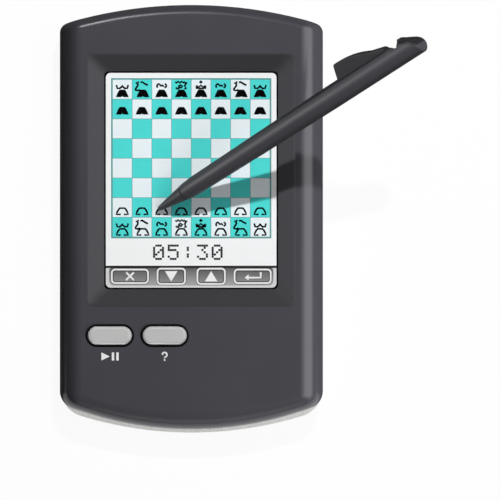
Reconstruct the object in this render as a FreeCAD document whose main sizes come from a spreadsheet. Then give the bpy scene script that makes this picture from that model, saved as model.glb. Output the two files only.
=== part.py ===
import FreeCAD, Part
import math
import operator
import os
from types import SimpleNamespace

import Sketcher

# Handheld electronic chess computer, lying on its back.
# +X is the player's right, +Y the top end, +Z out of the screen.
# The origin is the middle of the flat back.

DIMENSIONS = {
    # Case, seen from the front
    "case_width": 82,
    "case_height": 132,
    "top_arc_radius": 137.5,
    "bottom_arc_radius": 107.5,
    "side_roll_radius": 7,
    "top_edge_radius": 3,
    "bottom_edge_radius": 5.5,
    "back_edge_radius": 2.5,
    "rim_overhang": 1.25,
    "rear_arc_radius": 118,
    "rear_corner_radius": 9,
    "wall": 2,
    # Lip that locates the front shell on the rear one
    "lip_inset": 1.1,
    "lip_height": 1.5,
    "lip_clearance": 0.1,
    "parting_margin": 0.3,
    # Screen stack
    "screen_top_margin": 20.65,
    "window_width": 54,
    "window_height": 67.7,
    "window_corner": 1.4,
    "surround_width": 5.3,
    "surround_corner": 2,
    "surround_rim": 0.4,
    "surround_depth": 1.6,
    "surround_edge": 0.6,
    "surround_gap": 0.05,
    "flange_width": 1.4,
    "flange_thickness": 0.8,
    "gasket_line": 0.5,
    "gasket_thickness": 0.2,
    "panel_corner": 1,
    "touch_border": 3,
    "touch_thickness": 1.1,
    "touch_gap": 0.4,
    "glass_border": 2,
    "glass_thickness": 1.9,
    "glass_gap": 0.1,
    "glass_ledge": 2,
    "ledge_thickness": 0.9,
    "reflector_thickness": 0.2,
    "key_strip_height": 7,
    "film_thickness": 0.15,
    "tray_rim": 3,
    "tray_floor": 1.2,
    "tray_ledge": 7,
    "tray_clearance": 0.3,
    "ribbon_thickness": 0.15,
    "glass_ribbon_width": 22,
    "glass_ribbon_setback": 0.5,
    "glass_ribbon_foot": 2,
    "touch_ribbon_width": 6,
    "touch_ribbon_inset": 12,
    "socket_width": 10,
    "socket_length": 4,
    "socket_height": 1.8,
    "socket_gap": 1,
    # Circuit board
    "board_thickness": 1.6,
    "board_gap": 0.3,
    "board_side_gap": 0.8,
    "board_head_width": 24,
    "board_head_length": 8,
    "board_foot_width": 57,
    "board_foot_length": 11.5,
    "board_hole_clearance": 0.3,
    "board_screw_inset": 2.4,
    "board_screw_rise": 2.9,
    "board_screw_spacing": 16,
    "board_screw_radius": 0.85,
    "board_screw_length": 5,
    "board_screw_head_radius": 1.9,
    "board_screw_head_height": 1.3,
    "board_boss_radius": 2.2,
    "blob_radius": 8,
    "blob_height": 1.8,
    "crystal_length": 10.5,
    "crystal_width": 4.5,
    "crystal_height": 3.6,
    "crystal_drop": 16,
    "capacitor_radius": 2.5,
    "capacitor_height": 7,
    "capacitor_spacing": 8,
    "capacitor_rise": 16,
    "buzzer_radius": 6,
    "buzzer_height": 5.5,
    "buzzer_x": -18,
    "buzzer_y": 30,
    "sound_hole_count": 6,
    "sound_hole_radius": 0.8,
    "sound_hole_spacing": 3,
    # Push buttons
    "button_x": -25.2,
    "button_pitch": 17,
    "button_drop": 14.35,
    "button_length": 13.7,
    "button_width": 5.75,
    "button_gap": 0.7,
    "button_rise": 1,
    "button_crown_radius": 0.9,
    "button_flange": 1.3,
    "button_flange_thickness": 1,
    "button_rest_gap": 0.05,
    "press_travel": 1.2,
    "press_spare": 0.1,
    "dome_base_radius": 4.2,
    "dome_base_thickness": 0.8,
    "dome_crown_radius": 2.1,
    "dome_skin": 0.7,
    "pill_radius": 1.2,
    "pill_thickness": 0.5,
    # Case screws
    "boss_radius": 3.2,
    "boss_gap": 1.3,
    "top_boss_x": 22,
    "bottom_boss_x": 35,
    "bottom_boss_rise": 15,
    "screw_radius": 1.1,
    "screw_length": 11,
    "screw_seat": 6,
    "pilot_spare": 1,
    "screw_head_radius": 2.3,
    "screw_head_height": 1.8,
    "screw_head_clearance": 0.3,
    "thread_clearance": 0.05,
    "cross_width": 0.7,
    "cross_length": 2.8,
    "cross_depth": 0.9,
    # Battery bay and door
    "cell_length": 44.5,
    "cell_diameter": 10.5,
    "cell_clearance": 0.3,
    "nub_radius": 1.9,
    "nub_height": 1,
    "bay_x": -1.6,
    "bay_end_margin": 6.5,
    "bay_wall": 2,
    "bay_roof": 1.2,
    "contact_thickness": 0.4,
    "contact_size": 8,
    "bridge_corner": 1,
    "tab_width": 3,
    "tab_clearance": 0.3,
    "spring_length": 5.7,
    "spring_radius": 2.6,
    "spring_turns": 4,
    "spring_wire": 0.5,
    "door_thickness": 1.8,
    "door_clearance": 0.3,
    "tongue_width": 1.2,
    "tongue_height": 0.9,
    "tongue_clearance": 0.15,
    "grip_count": 5,
    "grip_length": 16,
    "grip_width": 0.9,
    "grip_pitch": 2,
    "grip_depth": 0.5,
    "grip_margin": 7,
    "arrow_width": 7,
    "arrow_length": 4.5,
    "arrow_margin": 18.5,
    "label_width": 36,
    "label_height": 15,
    "label_depth": 0.3,
    "label_corner": 1,
    "label_y": 14,
    # Stylus and its silo
    "stylus_radius": 3.6,
    "stylus_length": 107.5,
    "nib_length": 10.8,
    "nib_radius": 2.45,
    "nib_tip_radius": 0.85,
    "nib_tenon_radius": 1.3,
    "nib_tenon_length": 5,
    "neck_radius": 2.1,
    "neck_length": 0.6,
    "collar_step": 0.15,
    "shoulder_length": 4.5,
    "shoulder_radius": 2.95,
    "taper_length": 56,
    "tail_slope_length": 5.6,
    "tail_slope_drop": 3.35,
    "tail_nose_round": 4,
    "tail_round": 0.6,
    "ridge_start": 76.6,
    "ridge_rake": 2.4,
    "ridge_reach": 7.95,
    "ridge_middle_reach": 8.1,
    "ridge_back_reach": 5.35,
    "ridge_length": 12.5,
    "ridge_heel_length": 4.4,
    "ridge_heel_reach": 4.26,
    "ridge_width": 3.4,
    "ridge_crest_round": 25,
    "ridge_front_round": 0.8,
    "ridge_round": 0.5,
    "notch_front_slant": 1.75,
    "notch_back_slant": 0.8,
    "notch_reach": 1.95,
    "hook_length": 0.2,
    "hook_reach": 3.9,
    "stylus_turn": 32.1,
    "stylus_lean": 30,
    "touch_x": -9.45,
    "touch_y": 3,
    "touch_clearance": 0.05,
    "silo_clearance": 0.3,
    "silo_side_gap": 1.2,
    "silo_floor_gap": 0.5,
    "silo_wall": 0.9,
    "silo_depth": 95,
    "silo_slot_length": 27,
    "silo_slot_clearance": 0.4,
    "cradle_thickness": 2,
    "cradle_spacing": 34,
}

doc = FreeCAD.newDocument("chess_computer")


# Sizes that follow the spreadsheet

class Size:
    """A length with the spreadsheet expression that drives it and its present value."""

    def __init__(self, text, value):
        self.text = text
        self.value = value

    def __add__(self, other):
        return combine(self, "+", other)

    def __radd__(self, other):
        return combine(other, "+", self)

    def __sub__(self, other):
        return combine(self, "-", other)

    def __rsub__(self, other):
        return combine(other, "-", self)

    def __mul__(self, other):
        return combine(self, "*", other)

    def __rmul__(self, other):
        return combine(other, "*", self)

    def __truediv__(self, other):
        return combine(self, "/", other)

    def __neg__(self):
        return combine(0, "-", self)


OPERATIONS = {"+": operator.add, "-": operator.sub, "*": operator.mul, "/": operator.truediv}


def as_size(number):
    return number if isinstance(number, Size) else Size(str(number), number)


def combine(left, sign, right):
    left, right = as_size(left), as_size(right)
    return Size(f"({left.text} {sign} {right.text})", OPERATIONS[sign](left.value, right.value))


def root(number):
    return Size(f"sqrt({number.text})", math.sqrt(number.value))


def larger(first, second):
    first, second = as_size(first), as_size(second)
    return Size(f"max({first.text}; {second.text})", max(first.value, second.value))


def make_sheet():
    sheet = doc.addObject("Spreadsheet::Sheet", "dimensions")
    for row, (alias, number) in enumerate(DIMENSIONS.items(), start=1):
        sheet.set(f"A{row}", alias.replace("_", " "))
        sheet.set(f"B{row}", str(number))
        sheet.setAlias(f"B{row}", alias)
    doc.recompute()
    sizes = {alias: Size(f"dimensions.{alias}", float(sheet.get(alias))) for alias in DIMENSIONS}
    return SimpleNamespace(**sizes)


def bind(thing, path, number):
    thing.setExpression(path, as_size(number).text)


def place(thing, x=0, y=0, z=0):
    for axis, number in zip("xyz", (x, y, z)):
        bind(thing, f"Placement.Base.{axis}", number)
    return thing


# Part primitives and booleans

def block(name, x, y, z):
    """A box between two bounds on each axis."""
    box = doc.addObject("Part::Box", name)
    for side, (low, high) in zip(("Length", "Width", "Height"), (x, y, z)):
        bind(box, side, high - low)
    return place(box, x[0], y[0], z[0])


def span(middle, length):
    return middle - length / 2, middle + length / 2


def rod(name, radius, length, x=0, y=0, z=0, along="z"):
    """A round bar that starts at the point given and runs along one axis."""
    bar = doc.addObject("Part::Cylinder", name)
    bind(bar, "Radius", radius)
    bind(bar, "Height", length)
    turns = {"x": ((0, 1, 0), 90), "y": ((1, 0, 0), -90), "z": ((0, 0, 1), 0)}
    axis, angle = turns[along]
    bar.Placement.Rotation = FreeCAD.Rotation(FreeCAD.Vector(*axis), angle)
    return place(bar, x, y, z)


def join(name, pieces):
    fused = doc.addObject("Part::MultiFuse", name)
    fused.Shapes = pieces
    fused.Refine = True
    return fused


def cut(name, base, *tools):
    tool = tools[0] if len(tools) == 1 else join(f"{name}_tools", list(tools))
    result = doc.addObject("Part::Cut", name)
    result.Base = base
    result.Tool = tool
    result.Refine = True
    return result


def overlap(name, first, second):
    result = doc.addObject("Part::Common", name)
    result.Base = first
    result.Tool = second
    result.Refine = True
    return result


def group(name, pieces):
    """Separate solids kept together under one name."""
    compound = doc.addObject("Part::Compound", name)
    compound.Links = pieces
    return compound


# Bodies and sketches

def origin_feature(body, role):
    return next(item for item in body.Origin.OriginFeatures if item.Role == role)


def new_sketch(body, role="XY_Plane", level=0):
    sketch = body.newObject("Sketcher::SketchObject", f"{body.Name}_sketch")
    sketch.AttachmentSupport = [(origin_feature(body, role), "")]
    sketch.MapMode = "FlatFace"
    bind(sketch, "AttachmentOffset.Base.z", level)
    return sketch


def fix(sketch, kind, *where_and_size):
    """Adds a dimension to a sketch and ties it to the spreadsheet."""
    *where, size = where_and_size
    size = as_size(size)
    index = sketch.addConstraint(Sketcher.Constraint(kind, *where, size.value))
    sketch.setExpression(f"Constraints[{index}]", size.text)


def fix_point(sketch, line, end, point):
    fix(sketch, "DistanceX", -1, 1, line, end, point[0])
    fix(sketch, "DistanceY", -1, 1, line, end, point[1])


def draw_polygon(sketch, points):
    first = sketch.GeometryCount
    corners = [FreeCAD.Vector(as_size(x).value, as_size(y).value, 0) for x, y in points]
    for start, end in zip(corners, corners[1:] + corners[:1]):
        sketch.addGeometry(Part.LineSegment(start, end), False)
    for step, point in enumerate(points):
        following = first + (step + 1) % len(points)
        sketch.addConstraint(Sketcher.Constraint("Coincident", first + step, 2, following, 1))
        fix_point(sketch, first + step, 1, point)


def draw_stadium(sketch, length, width, x, y):
    """Two half circles joined by straight sides, with the long way along X."""
    radius = width / 2
    reach = (length - width) / 2
    for side, start in ((1, -math.pi / 2), (-1, math.pi / 2)):
        middle = FreeCAD.Vector((x + side * reach).value, y.value, 0)
        circle = Part.Circle(middle, FreeCAD.Vector(0, 0, 1), radius.value)
        sketch.addGeometry(Part.ArcOfCircle(circle, start, start + math.pi), False)
    for side in (1, -1):
        height = (y + side * radius).value
        near = FreeCAD.Vector((x + side * reach).value, height, 0)
        far = FreeCAD.Vector((x - side * reach).value, height, 0)
        sketch.addGeometry(Part.LineSegment(near, far), False)
    right, left, upper, lower = range(4)
    for first, second in ((right, upper), (upper, left), (left, lower), (lower, right)):
        sketch.addConstraint(Sketcher.Constraint("Tangent", first, 2, second, 1))
    fix_point(sketch, right, 3, (x + reach, y))
    fix_point(sketch, left, 3, (x - reach, y))
    fix(sketch, "Radius", right, radius)


def draw_rounded_rectangle(sketch, width, height, corner, y):
    """Four quarter circles joined by straight sides, with the middle at height y."""
    reach, rise = width / 2 - corner, height / 2 - corner
    middles = [(reach, y + rise), (-reach, y + rise), (-reach, y - rise), (reach, y - rise)]
    quarter = math.pi / 2
    arcs = []
    for turn, middle in enumerate(middles):
        centre = FreeCAD.Vector(middle[0].value, middle[1].value, 0)
        circle = Part.Circle(centre, FreeCAD.Vector(0, 0, 1), corner.value)
        arcs.append(Part.ArcOfCircle(circle, turn * quarter, (turn + 1) * quarter))
    for arc in arcs:
        sketch.addGeometry(arc, False)
    for arc, following in zip(arcs, arcs[1:] + arcs[:1]):
        sketch.addGeometry(Part.LineSegment(arc.EndPoint, following.StartPoint), False)
    for turn, middle in enumerate(middles):
        side = len(arcs) + turn
        sketch.addConstraint(Sketcher.Constraint("Tangent", turn, 2, side, 1))
        sketch.addConstraint(Sketcher.Constraint("Tangent", side, 2, (turn + 1) % len(arcs), 1))
        fix_point(sketch, turn, 3, middle)
        fix(sketch, "Radius", turn, corner)


def draw_case_outline(sketch, inset, bottom):
    """The case seen from the front: straight sides between a top arc and a bottom arc."""
    half = dims.case_width / 2 - inset
    arcs = ((dims.top_arc_radius - inset, TOP_ARC_Y, 1), (bottom.radius - inset, bottom.middle, -1))
    ends = []
    for radius, middle, side in arcs:
        spread = math.asin(half.value / radius.value)
        centre = FreeCAD.Vector(0, middle.value, 0)
        circle = Part.Circle(centre, FreeCAD.Vector(0, 0, 1), radius.value)
        start = side * math.pi / 2 - spread
        sketch.addGeometry(Part.ArcOfCircle(circle, start, start + 2 * spread), False)
        ends.append(middle.value + side * radius.value * math.cos(spread))
    for x, start, end in ((-half.value, *ends), (half.value, *reversed(ends))):
        line = Part.LineSegment(FreeCAD.Vector(x, start, 0), FreeCAD.Vector(x, end, 0))
        sketch.addGeometry(line, False)
    top, bottom, left, right = range(4)
    for first, second in ((top, left), (left, bottom), (bottom, right), (right, top)):
        sketch.addConstraint(Sketcher.Constraint("Coincident", first, 2, second, 1))
    for line, reach in ((left, -half), (right, half)):
        sketch.addConstraint(Sketcher.Constraint("Vertical", line))
        fix(sketch, "DistanceX", -1, 1, line, 1, reach)
    for arc, (radius, middle, _) in zip((top, bottom), arcs):
        fix_point(sketch, arc, 3, (0, middle))
        fix(sketch, "Radius", arc, radius)


def new_body(name):
    return doc.addObject("PartDesign::Body", name)


def pad(body, sketch, length, both_ways=False):
    feature = body.newObject("PartDesign::Pad", f"{body.Name}_pad")
    feature.Profile = sketch
    feature.Midplane = both_ways
    bind(feature, "Length", length)
    return feature


def pocket_through(body, sketch):
    feature = body.newObject("PartDesign::Pocket", f"{body.Name}_pocket")
    feature.Profile = sketch
    feature.Type = "ThroughAll"
    feature.Midplane = True
    return feature


def revolve(body, sketch, role):
    feature = body.newObject("PartDesign::Revolution", f"{body.Name}_turned")
    feature.Profile = sketch
    feature.ReferenceAxis = (origin_feature(body, role), [""])
    feature.Angle = 360
    return feature


def round_edges(body, radius, wanted):
    """Rounds every edge of the body so far for which wanted(edge) is true."""
    doc.recompute()
    names = [f"Edge{n}" for n, edge in enumerate(body.Shape.Edges, start=1) if wanted(edge)]
    base = body.Tip
    feature = body.newObject("PartDesign::Fillet", f"{body.Name}_round")
    feature.Base = (base, names)
    bind(feature, "Radius", radius)
    doc.recompute()
    return feature


TOUCHING = 1e-4


def is_upright(edge):
    box = edge.BoundBox
    return box.XLength < TOUCHING and box.YLength < TOUCHING


def lies_at(edge, level):
    box = edge.BoundBox
    return abs(box.ZMin - level) < TOUCHING and abs(box.ZMax - level) < TOUCHING


def rounded_plate(name, width, height, corner, z, x=0, y=0):
    """A flat rectangle with rounded upright corners."""
    body = new_body(name)
    sketch = new_sketch(body, level=z[0])
    (left, right), (low, high) = span(x, width), span(y, height)
    draw_polygon(sketch, [(left, low), (right, low), (right, high), (left, high)])
    pad(body, sketch, z[1] - z[0])
    round_edges(body, corner, is_upright)
    return body


def stadium_plate(name, length, width, z, x, y):
    body = new_body(name)
    sketch = new_sketch(body, level=z[0])
    draw_stadium(sketch, length, width, x, y)
    pad(body, sketch, z[1] - z[0])
    return body


def end_corner_radius(radius, inset):
    return larger(radius - inset, SMALLEST_ROUND)


def upright_block(name, inset, bottom, z):
    """The case outline as an upright block with rounded corners."""
    body = new_body(name)
    sketch = new_sketch(body, level=z[0])
    draw_case_outline(sketch, inset, bottom)
    pad(body, sketch, z[1] - z[0])
    for side, radius in ((1, dims.top_edge_radius), (-1, bottom.corner)):
        round_edges(body, end_corner_radius(radius, inset),
                    lambda edge: is_upright(edge) and side * edge.CenterOfMass.y > 0)
    return body


def rolled_block(name, inset, z):
    """The case outline with the long sides rolled over and both ends rounded."""
    body = new_body(name)
    sketch = new_sketch(body, level=z[0])
    draw_case_outline(sketch, inset, front_bottom)
    pad(body, sketch, z[1] - z[0])
    draw_side_rolls(body, inset, z[1])
    ends = ((dims.top_arc_radius, dims.top_edge_radius), (front_bottom.radius, front_bottom.corner))
    for arc_radius, edge_radius in ends:
        end_wall_radius = (arc_radius - inset).value
        round_edges(body, end_corner_radius(edge_radius, inset),
                    lambda edge: bounds_end_wall(body, edge, end_wall_radius, z[0].value))
    return body


def bounds_end_wall(body, edge, radius, bottom):
    """True for the edges of an end wall that don't lie on the parting plane."""
    if lies_at(edge, bottom):
        return False
    walls = [face for face in body.Shape.Faces if isinstance(face.Surface, Part.Cylinder)
             and abs(face.Surface.Radius - radius) < TOUCHING]
    return any(edge.isSame(other) for wall in walls for other in wall.Edges)


def draw_side_rolls(body, inset, top):
    sketch = new_sketch(body, "XZ_Plane")
    radius = dims.side_roll_radius - inset
    half = dims.case_width / 2 - inset
    for side, start in ((1, 0), (-1, math.pi / 2)):
        first = sketch.GeometryCount
        middle = (side * (half - radius), top - radius)
        corner = (side * half, top)
        low, inner = (corner[0], middle[1]), (middle[0], corner[1])
        points = [FreeCAD.Vector(x.value, y.value, 0) for x, y in (low, corner, inner, middle)]
        sketch.addGeometry(Part.LineSegment(points[0], points[1]), False)
        sketch.addGeometry(Part.LineSegment(points[1], points[2]), False)
        circle = Part.Circle(points[3], FreeCAD.Vector(0, 0, 1), radius.value)
        sketch.addGeometry(Part.ArcOfCircle(circle, start, start + math.pi / 2), False)
        upright, level, arc = range(first, first + 3)
        arc_low, arc_inner = (1, 2) if side > 0 else (2, 1)
        sketch.addConstraint(Sketcher.Constraint("Coincident", upright, 2, level, 1))
        sketch.addConstraint(Sketcher.Constraint("Coincident", level, 2, arc, arc_inner))
        sketch.addConstraint(Sketcher.Constraint("Coincident", upright, 1, arc, arc_low))
        sketch.addConstraint(Sketcher.Constraint("Vertical", upright))
        sketch.addConstraint(Sketcher.Constraint("Horizontal", level))
        fix_point(sketch, level, 1, corner)
        fix(sketch, "DistanceY", -1, 1, upright, 1, low[1])
        fix(sketch, "DistanceX", -1, 1, level, 2, inner[0])
        fix(sketch, "Radius", arc, radius)
    pocket_through(body, sketch)


# Places and levels worked out from the spreadsheet

dims = make_sheet()
SMALLEST_ROUND = 0.3
REACH = dims.case_height

TOP_ARC_Y = dims.case_height / 2 - dims.top_arc_radius
# The rear shell's bottom end is flatter and reaches lower, so it shows as a rim below the front.
front_bottom = SimpleNamespace(radius=dims.bottom_arc_radius, corner=dims.bottom_edge_radius,
                               middle=dims.bottom_arc_radius - dims.case_height / 2)
rear_bottom = SimpleNamespace(
    radius=dims.rear_arc_radius, corner=dims.rear_corner_radius,
    middle=dims.rear_arc_radius - dims.case_height / 2 - dims.rim_overhang)

cell_axis_z = dims.wall + dims.cell_clearance + dims.cell_diameter / 2
bay_ceiling = cell_axis_z + dims.cell_diameter / 2 + dims.cell_clearance
bay_top = bay_ceiling + dims.bay_roof
board_bottom = bay_top + dims.board_gap
board_top = board_bottom + dims.board_thickness
reflector_bottom = board_top + dims.tray_floor
glass_bottom = reflector_bottom + dims.reflector_thickness
glass_top = glass_bottom + dims.glass_thickness
touch_bottom = glass_top + dims.glass_gap
touch_top = touch_bottom + dims.touch_thickness
surround_seat = touch_top + dims.gasket_thickness
window_edge = surround_seat + dims.surround_edge
face = window_edge + dims.surround_depth
inner_face = face - dims.wall

silo_bore = dims.stylus_radius + dims.silo_clearance
silo_outer = silo_bore + dims.silo_wall
silo_x = dims.case_width / 2 - dims.wall - dims.silo_side_gap - silo_outer
silo_z = dims.wall + dims.silo_floor_gap + silo_outer
silo_slot_width = dims.ridge_width + 2 * dims.silo_slot_clearance
silo_mouth_y = TOP_ARC_Y + root(dims.top_arc_radius * dims.top_arc_radius - silo_x * silo_x)
silo_slot_y = silo_mouth_y - dims.silo_slot_length
ridge_crest = dims.ridge_start + dims.ridge_rake
ridge_heel = ridge_crest + dims.ridge_length + dims.ridge_heel_length
tail_slope_start = dims.stylus_length - dims.tail_slope_length
tail_slope_end = dims.hook_reach - dims.tail_slope_drop
hook_front = tail_slope_start - dims.hook_length
parting = silo_z + silo_outer + dims.parting_margin

screen_y = dims.case_height / 2 - dims.screen_top_margin - dims.window_height / 2
window_low = screen_y - dims.window_height / 2
window_high = screen_y + dims.window_height / 2
touch_width = dims.window_width + 2 * dims.touch_border
touch_height = dims.window_height + 2 * dims.touch_border
tray_width = touch_width + 2 * dims.tray_rim
tray_height = touch_height + 2 * dims.tray_rim
tray_high = screen_y + tray_height / 2
tray_low = screen_y - tray_height / 2
surround_outer_width = dims.window_width + 2 * dims.surround_width
surround_outer_height = dims.window_height + 2 * dims.surround_width
glass_width = dims.window_width + 2 * dims.glass_border
film_high = window_low + dims.key_strip_height
glass_low = film_high + dims.tray_clearance
glass_high = window_high + dims.glass_border
glass_ribbon_drop = glass_high + dims.glass_ledge + dims.tray_clearance
touch_ribbon_x = touch_width / 2 - dims.touch_ribbon_inset
touch_ribbon_drop = tray_low - dims.tray_clearance
touch_plug_z = board_top + dims.socket_height / 2

button_y = window_low - dims.button_drop
button_places = {"start": dims.button_x, "help": dims.button_x + dims.button_pitch}
cap_top = face + dims.button_rise
cap_flange_top = inner_face - dims.button_rest_gap
cap_bottom = cap_flange_top - dims.button_flange_thickness

bay_length = dims.cell_length + dims.spring_length + 2 * dims.contact_thickness
bay_width = 2 * dims.cell_diameter + 3 * dims.cell_clearance
bay_y = dims.bay_end_margin + dims.bay_wall + bay_width / 2 - dims.case_height / 2
bay_left, bay_right = span(dims.bay_x, bay_length)
bay_low, bay_high = span(bay_y, bay_width)
cell_offset = (dims.cell_diameter + dims.cell_clearance) / 2
cell_rows = (bay_y + cell_offset, bay_y - cell_offset)

bottom_boss_y = dims.bottom_boss_rise - dims.case_height / 2
top_boss_y = tray_high + dims.boss_gap + dims.boss_radius
case_screw_places = [(side * reach, height) for side in (-1, 1) for reach, height in
                     ((dims.top_boss_x, top_boss_y), (dims.bottom_boss_x, bottom_boss_y))]

board_half = dims.case_width / 2 - dims.wall - dims.board_side_gap
board_low = bottom_boss_y + dims.boss_radius + dims.boss_gap
board_head_high = tray_high + dims.board_head_length
board_foot_low = board_low - dims.board_foot_length
board_screw_low_y = board_low + dims.board_screw_rise
board_screw_high_y = board_head_high - dims.board_screw_rise
board_screw_places = [(side * reach, height) for side in (-1, 1) for reach, height in
                      ((board_half - dims.board_screw_inset, board_screw_low_y),
                       (dims.board_screw_spacing / 2, board_screw_high_y))]


# Case

def make_front_shell():
    outer = rolled_block("front_outer", as_size(0), (parting, face))
    cavity = rolled_block("front_cavity", dims.wall, (parting, inner_face))
    bosses = []
    pilots = []
    for x, y in case_screw_places:
        bosses.append(rod("case_boss", dims.boss_radius, face - parting, x, y, parting))
        pilot_top = dims.screw_seat + dims.screw_length + dims.pilot_spare
        pilots.append(rod("case_pilot", dims.screw_radius + dims.thread_clearance,
                          pilot_top - parting, x, y, parting))
    for x, y in board_screw_places:
        bosses.append(rod("board_boss", dims.board_boss_radius, face - board_top, x, y, board_top))
        pilots.append(rod("board_pilot", dims.board_screw_radius + dims.thread_clearance,
                          dims.board_screw_length, x, y, board_bottom))
    hollow = cut("front_hollow", cavity, *bosses)
    groove = cut("front_groove",
                 upright_block("groove_outer", dims.lip_inset - dims.lip_clearance, front_bottom,
                               (parting, parting + dims.lip_height + dims.lip_clearance)),
                 upright_block("groove_inner", dims.wall, front_bottom,
                               (parting, parting + dims.lip_height + dims.lip_clearance)))
    opening = rounded_plate("screen_opening", surround_outer_width + 2 * dims.surround_gap,
                            surround_outer_height + 2 * dims.surround_gap,
                            dims.surround_corner + dims.surround_gap,
                            (inner_face - dims.wall, face + dims.wall), 0, screen_y)
    button_holes = [stadium_plate(f"{name}_hole", dims.button_length + 2 * dims.button_gap,
                                  dims.button_width + 2 * dims.button_gap,
                                  (inner_face - dims.wall, face + dims.wall), x, button_y)
                    for name, x in button_places.items()]
    return cut("front_shell", outer, hollow, groove, opening, *button_holes, *pilots)


def make_rear_outer():
    outer = upright_block("rear_outer", as_size(0), rear_bottom, (as_size(0), parting))
    round_edges(outer, dims.back_edge_radius, lambda edge: lies_at(edge, 0))
    return outer


def make_rear_shell(outer):
    cavity = upright_block("rear_cavity", dims.wall, front_bottom, (dims.wall, parting))
    lip_top = parting + dims.lip_height
    lip = cut("rear_lip", upright_block("lip_outer", dims.lip_inset, front_bottom, (parting, lip_top)),
              upright_block("lip_inner", dims.wall, front_bottom, (parting, lip_top)))
    bay = block("bay_block", span(dims.bay_x, bay_length + 2 * dims.bay_wall),
                span(bay_y, bay_width + 2 * dims.bay_wall), (dims.wall / 2, bay_top))
    bosses = [rod("rear_boss", dims.boss_radius, parting - dims.wall / 2, x, y, dims.wall / 2)
              for x, y in case_screw_places]
    solid = join("rear_solid", [cut("rear_tub", outer, cavity), lip, bay, *bosses, *make_cradles()])
    return cut("rear_shell", solid, *bay_openings(), *screw_openings(), *silo_openings(),
               *sound_holes(), make_label_recess())


def make_cradles():
    """Two ribs that hold the silo tube off the floor."""
    tube = rod("cradle_bore", silo_outer, REACH, silo_x, -dims.case_height / 2, silo_z, along="y")
    middle = silo_mouth_y - dims.silo_depth / 2
    inner = silo_x - silo_outer - dims.silo_side_gap
    ribs = []
    for side in (-1, 1):
        y = middle + side * dims.cradle_spacing / 2
        rib = block("cradle_rib", (inner, dims.case_width / 2 - dims.wall / 2),
                    span(y, dims.cradle_thickness), (dims.wall / 2, silo_z))
        ribs.append(cut("cradle", rib, tube))
    return ribs


def bay_openings():
    low = -REACH
    tab_slot = dims.contact_thickness + dims.tab_clearance
    slots = [block("tab_slot", (bay_left, bay_left + tab_slot),
                   span(y, dims.tab_width + 2 * dims.tab_clearance), (bay_ceiling, bay_top))
             for y in cell_rows]
    room = block("bay_room", (bay_left, bay_right), (bay_low, bay_high), (dims.wall, bay_ceiling))
    sill = dims.door_thickness - dims.tongue_height - dims.tongue_clearance
    mouth = block("door_mouth", (bay_left, bay_right), (low, bay_high), (-dims.wall, dims.wall))
    rails = block("door_rails", (bay_left - dims.tongue_width, bay_right + dims.tongue_width),
                  (low, bay_high + dims.tongue_width), (sill, dims.wall))
    return [room, mouth, rails, *slots]


def screw_openings():
    openings = []
    for x, y in case_screw_places:
        openings.append(rod("screw_well", dims.screw_head_radius + dims.screw_head_clearance,
                            dims.screw_seat, x, y, 0))
        openings.append(rod("screw_way", dims.screw_radius + dims.screw_head_clearance, parting, x, y, 0))
    return openings


def silo_openings():
    start = silo_mouth_y - dims.silo_depth - dims.silo_wall
    bore = rod("silo_way", silo_outer, REACH, silo_x, start, silo_z, along="y")
    slot = block("silo_side_way", (silo_x, dims.case_width), (silo_slot_y, REACH),
                 span(silo_z, silo_slot_width))
    return [bore, slot]


def sound_holes():
    holes = [rod("sound_hole", dims.sound_hole_radius, dims.wall, dims.buzzer_x, dims.buzzer_y, 0)]
    count = int(dims.sound_hole_count.value)
    for step in range(count):
        angle = 2 * math.pi * step / count
        holes.append(rod("sound_hole", dims.sound_hole_radius, dims.wall,
                         dims.buzzer_x + dims.sound_hole_spacing * round(math.cos(angle), 4),
                         dims.buzzer_y + dims.sound_hole_spacing * round(math.sin(angle), 4), 0))
    return holes


def make_label_recess():
    return rounded_plate("label_recess", dims.label_width, dims.label_height, dims.label_corner,
                         (-dims.label_depth, dims.label_depth), 0, dims.label_y)


def make_battery_door(outer):
    """A panel that slides out of the bottom end, on tongues along three of its edges."""
    gap = dims.door_clearance
    low = -REACH
    panel = block("door_panel", (bay_left + gap, bay_right - gap), (low, bay_high - gap),
                  (as_size(0), dims.door_thickness))
    reach = dims.tongue_width - gap
    tongue = block("door_tongue", (bay_left - reach, bay_right + reach), (low, bay_high + reach),
                   (dims.door_thickness - dims.tongue_height, dims.door_thickness))
    grips = []
    for step in range(int(dims.grip_count.value)):
        y = dims.grip_margin + step * dims.grip_pitch - dims.case_height / 2
        grips.append(block("door_grip", span(dims.bay_x, dims.grip_length),
                           span(y, dims.grip_width), (-dims.grip_depth, dims.grip_depth)))
    trimmed = overlap("door_trimmed", join("door_blank", [panel, tongue]), outer)
    return cut("battery_door", trimmed, *grips, make_door_arrow())


def make_door_arrow():
    """A sunk triangle that points the way the door slides."""
    body = new_body("door_arrow")
    sketch = new_sketch(body, level=-dims.grip_depth)
    tip = dims.arrow_margin - dims.case_height / 2
    left, right = span(dims.bay_x, dims.arrow_width)
    draw_polygon(sketch, [(dims.bay_x, tip), (right, tip + dims.arrow_length),
                          (left, tip + dims.arrow_length)])
    pad(body, sketch, 2 * dims.grip_depth)
    return body


def make_screw(name, x, y, seat, radius, length, head_radius, head_height):
    """A cross-head screw driven upwards, with its head below the seat."""
    blank = join(f"{name}_blank", [rod(f"{name}_head", head_radius, head_height, x, y, seat - head_height),
                                   rod(f"{name}_shank", radius, length, x, y, seat)])
    low = seat - head_height
    depth = (low, low + head_height * dims.cross_depth / dims.screw_head_height)
    long = dims.cross_length * head_radius / dims.screw_head_radius
    arms = [block(f"{name}_arm", span(x, across), span(y, along), depth)
            for across, along in ((long, dims.cross_width), (dims.cross_width, long))]
    return cut(name, blank, *arms)


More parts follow.
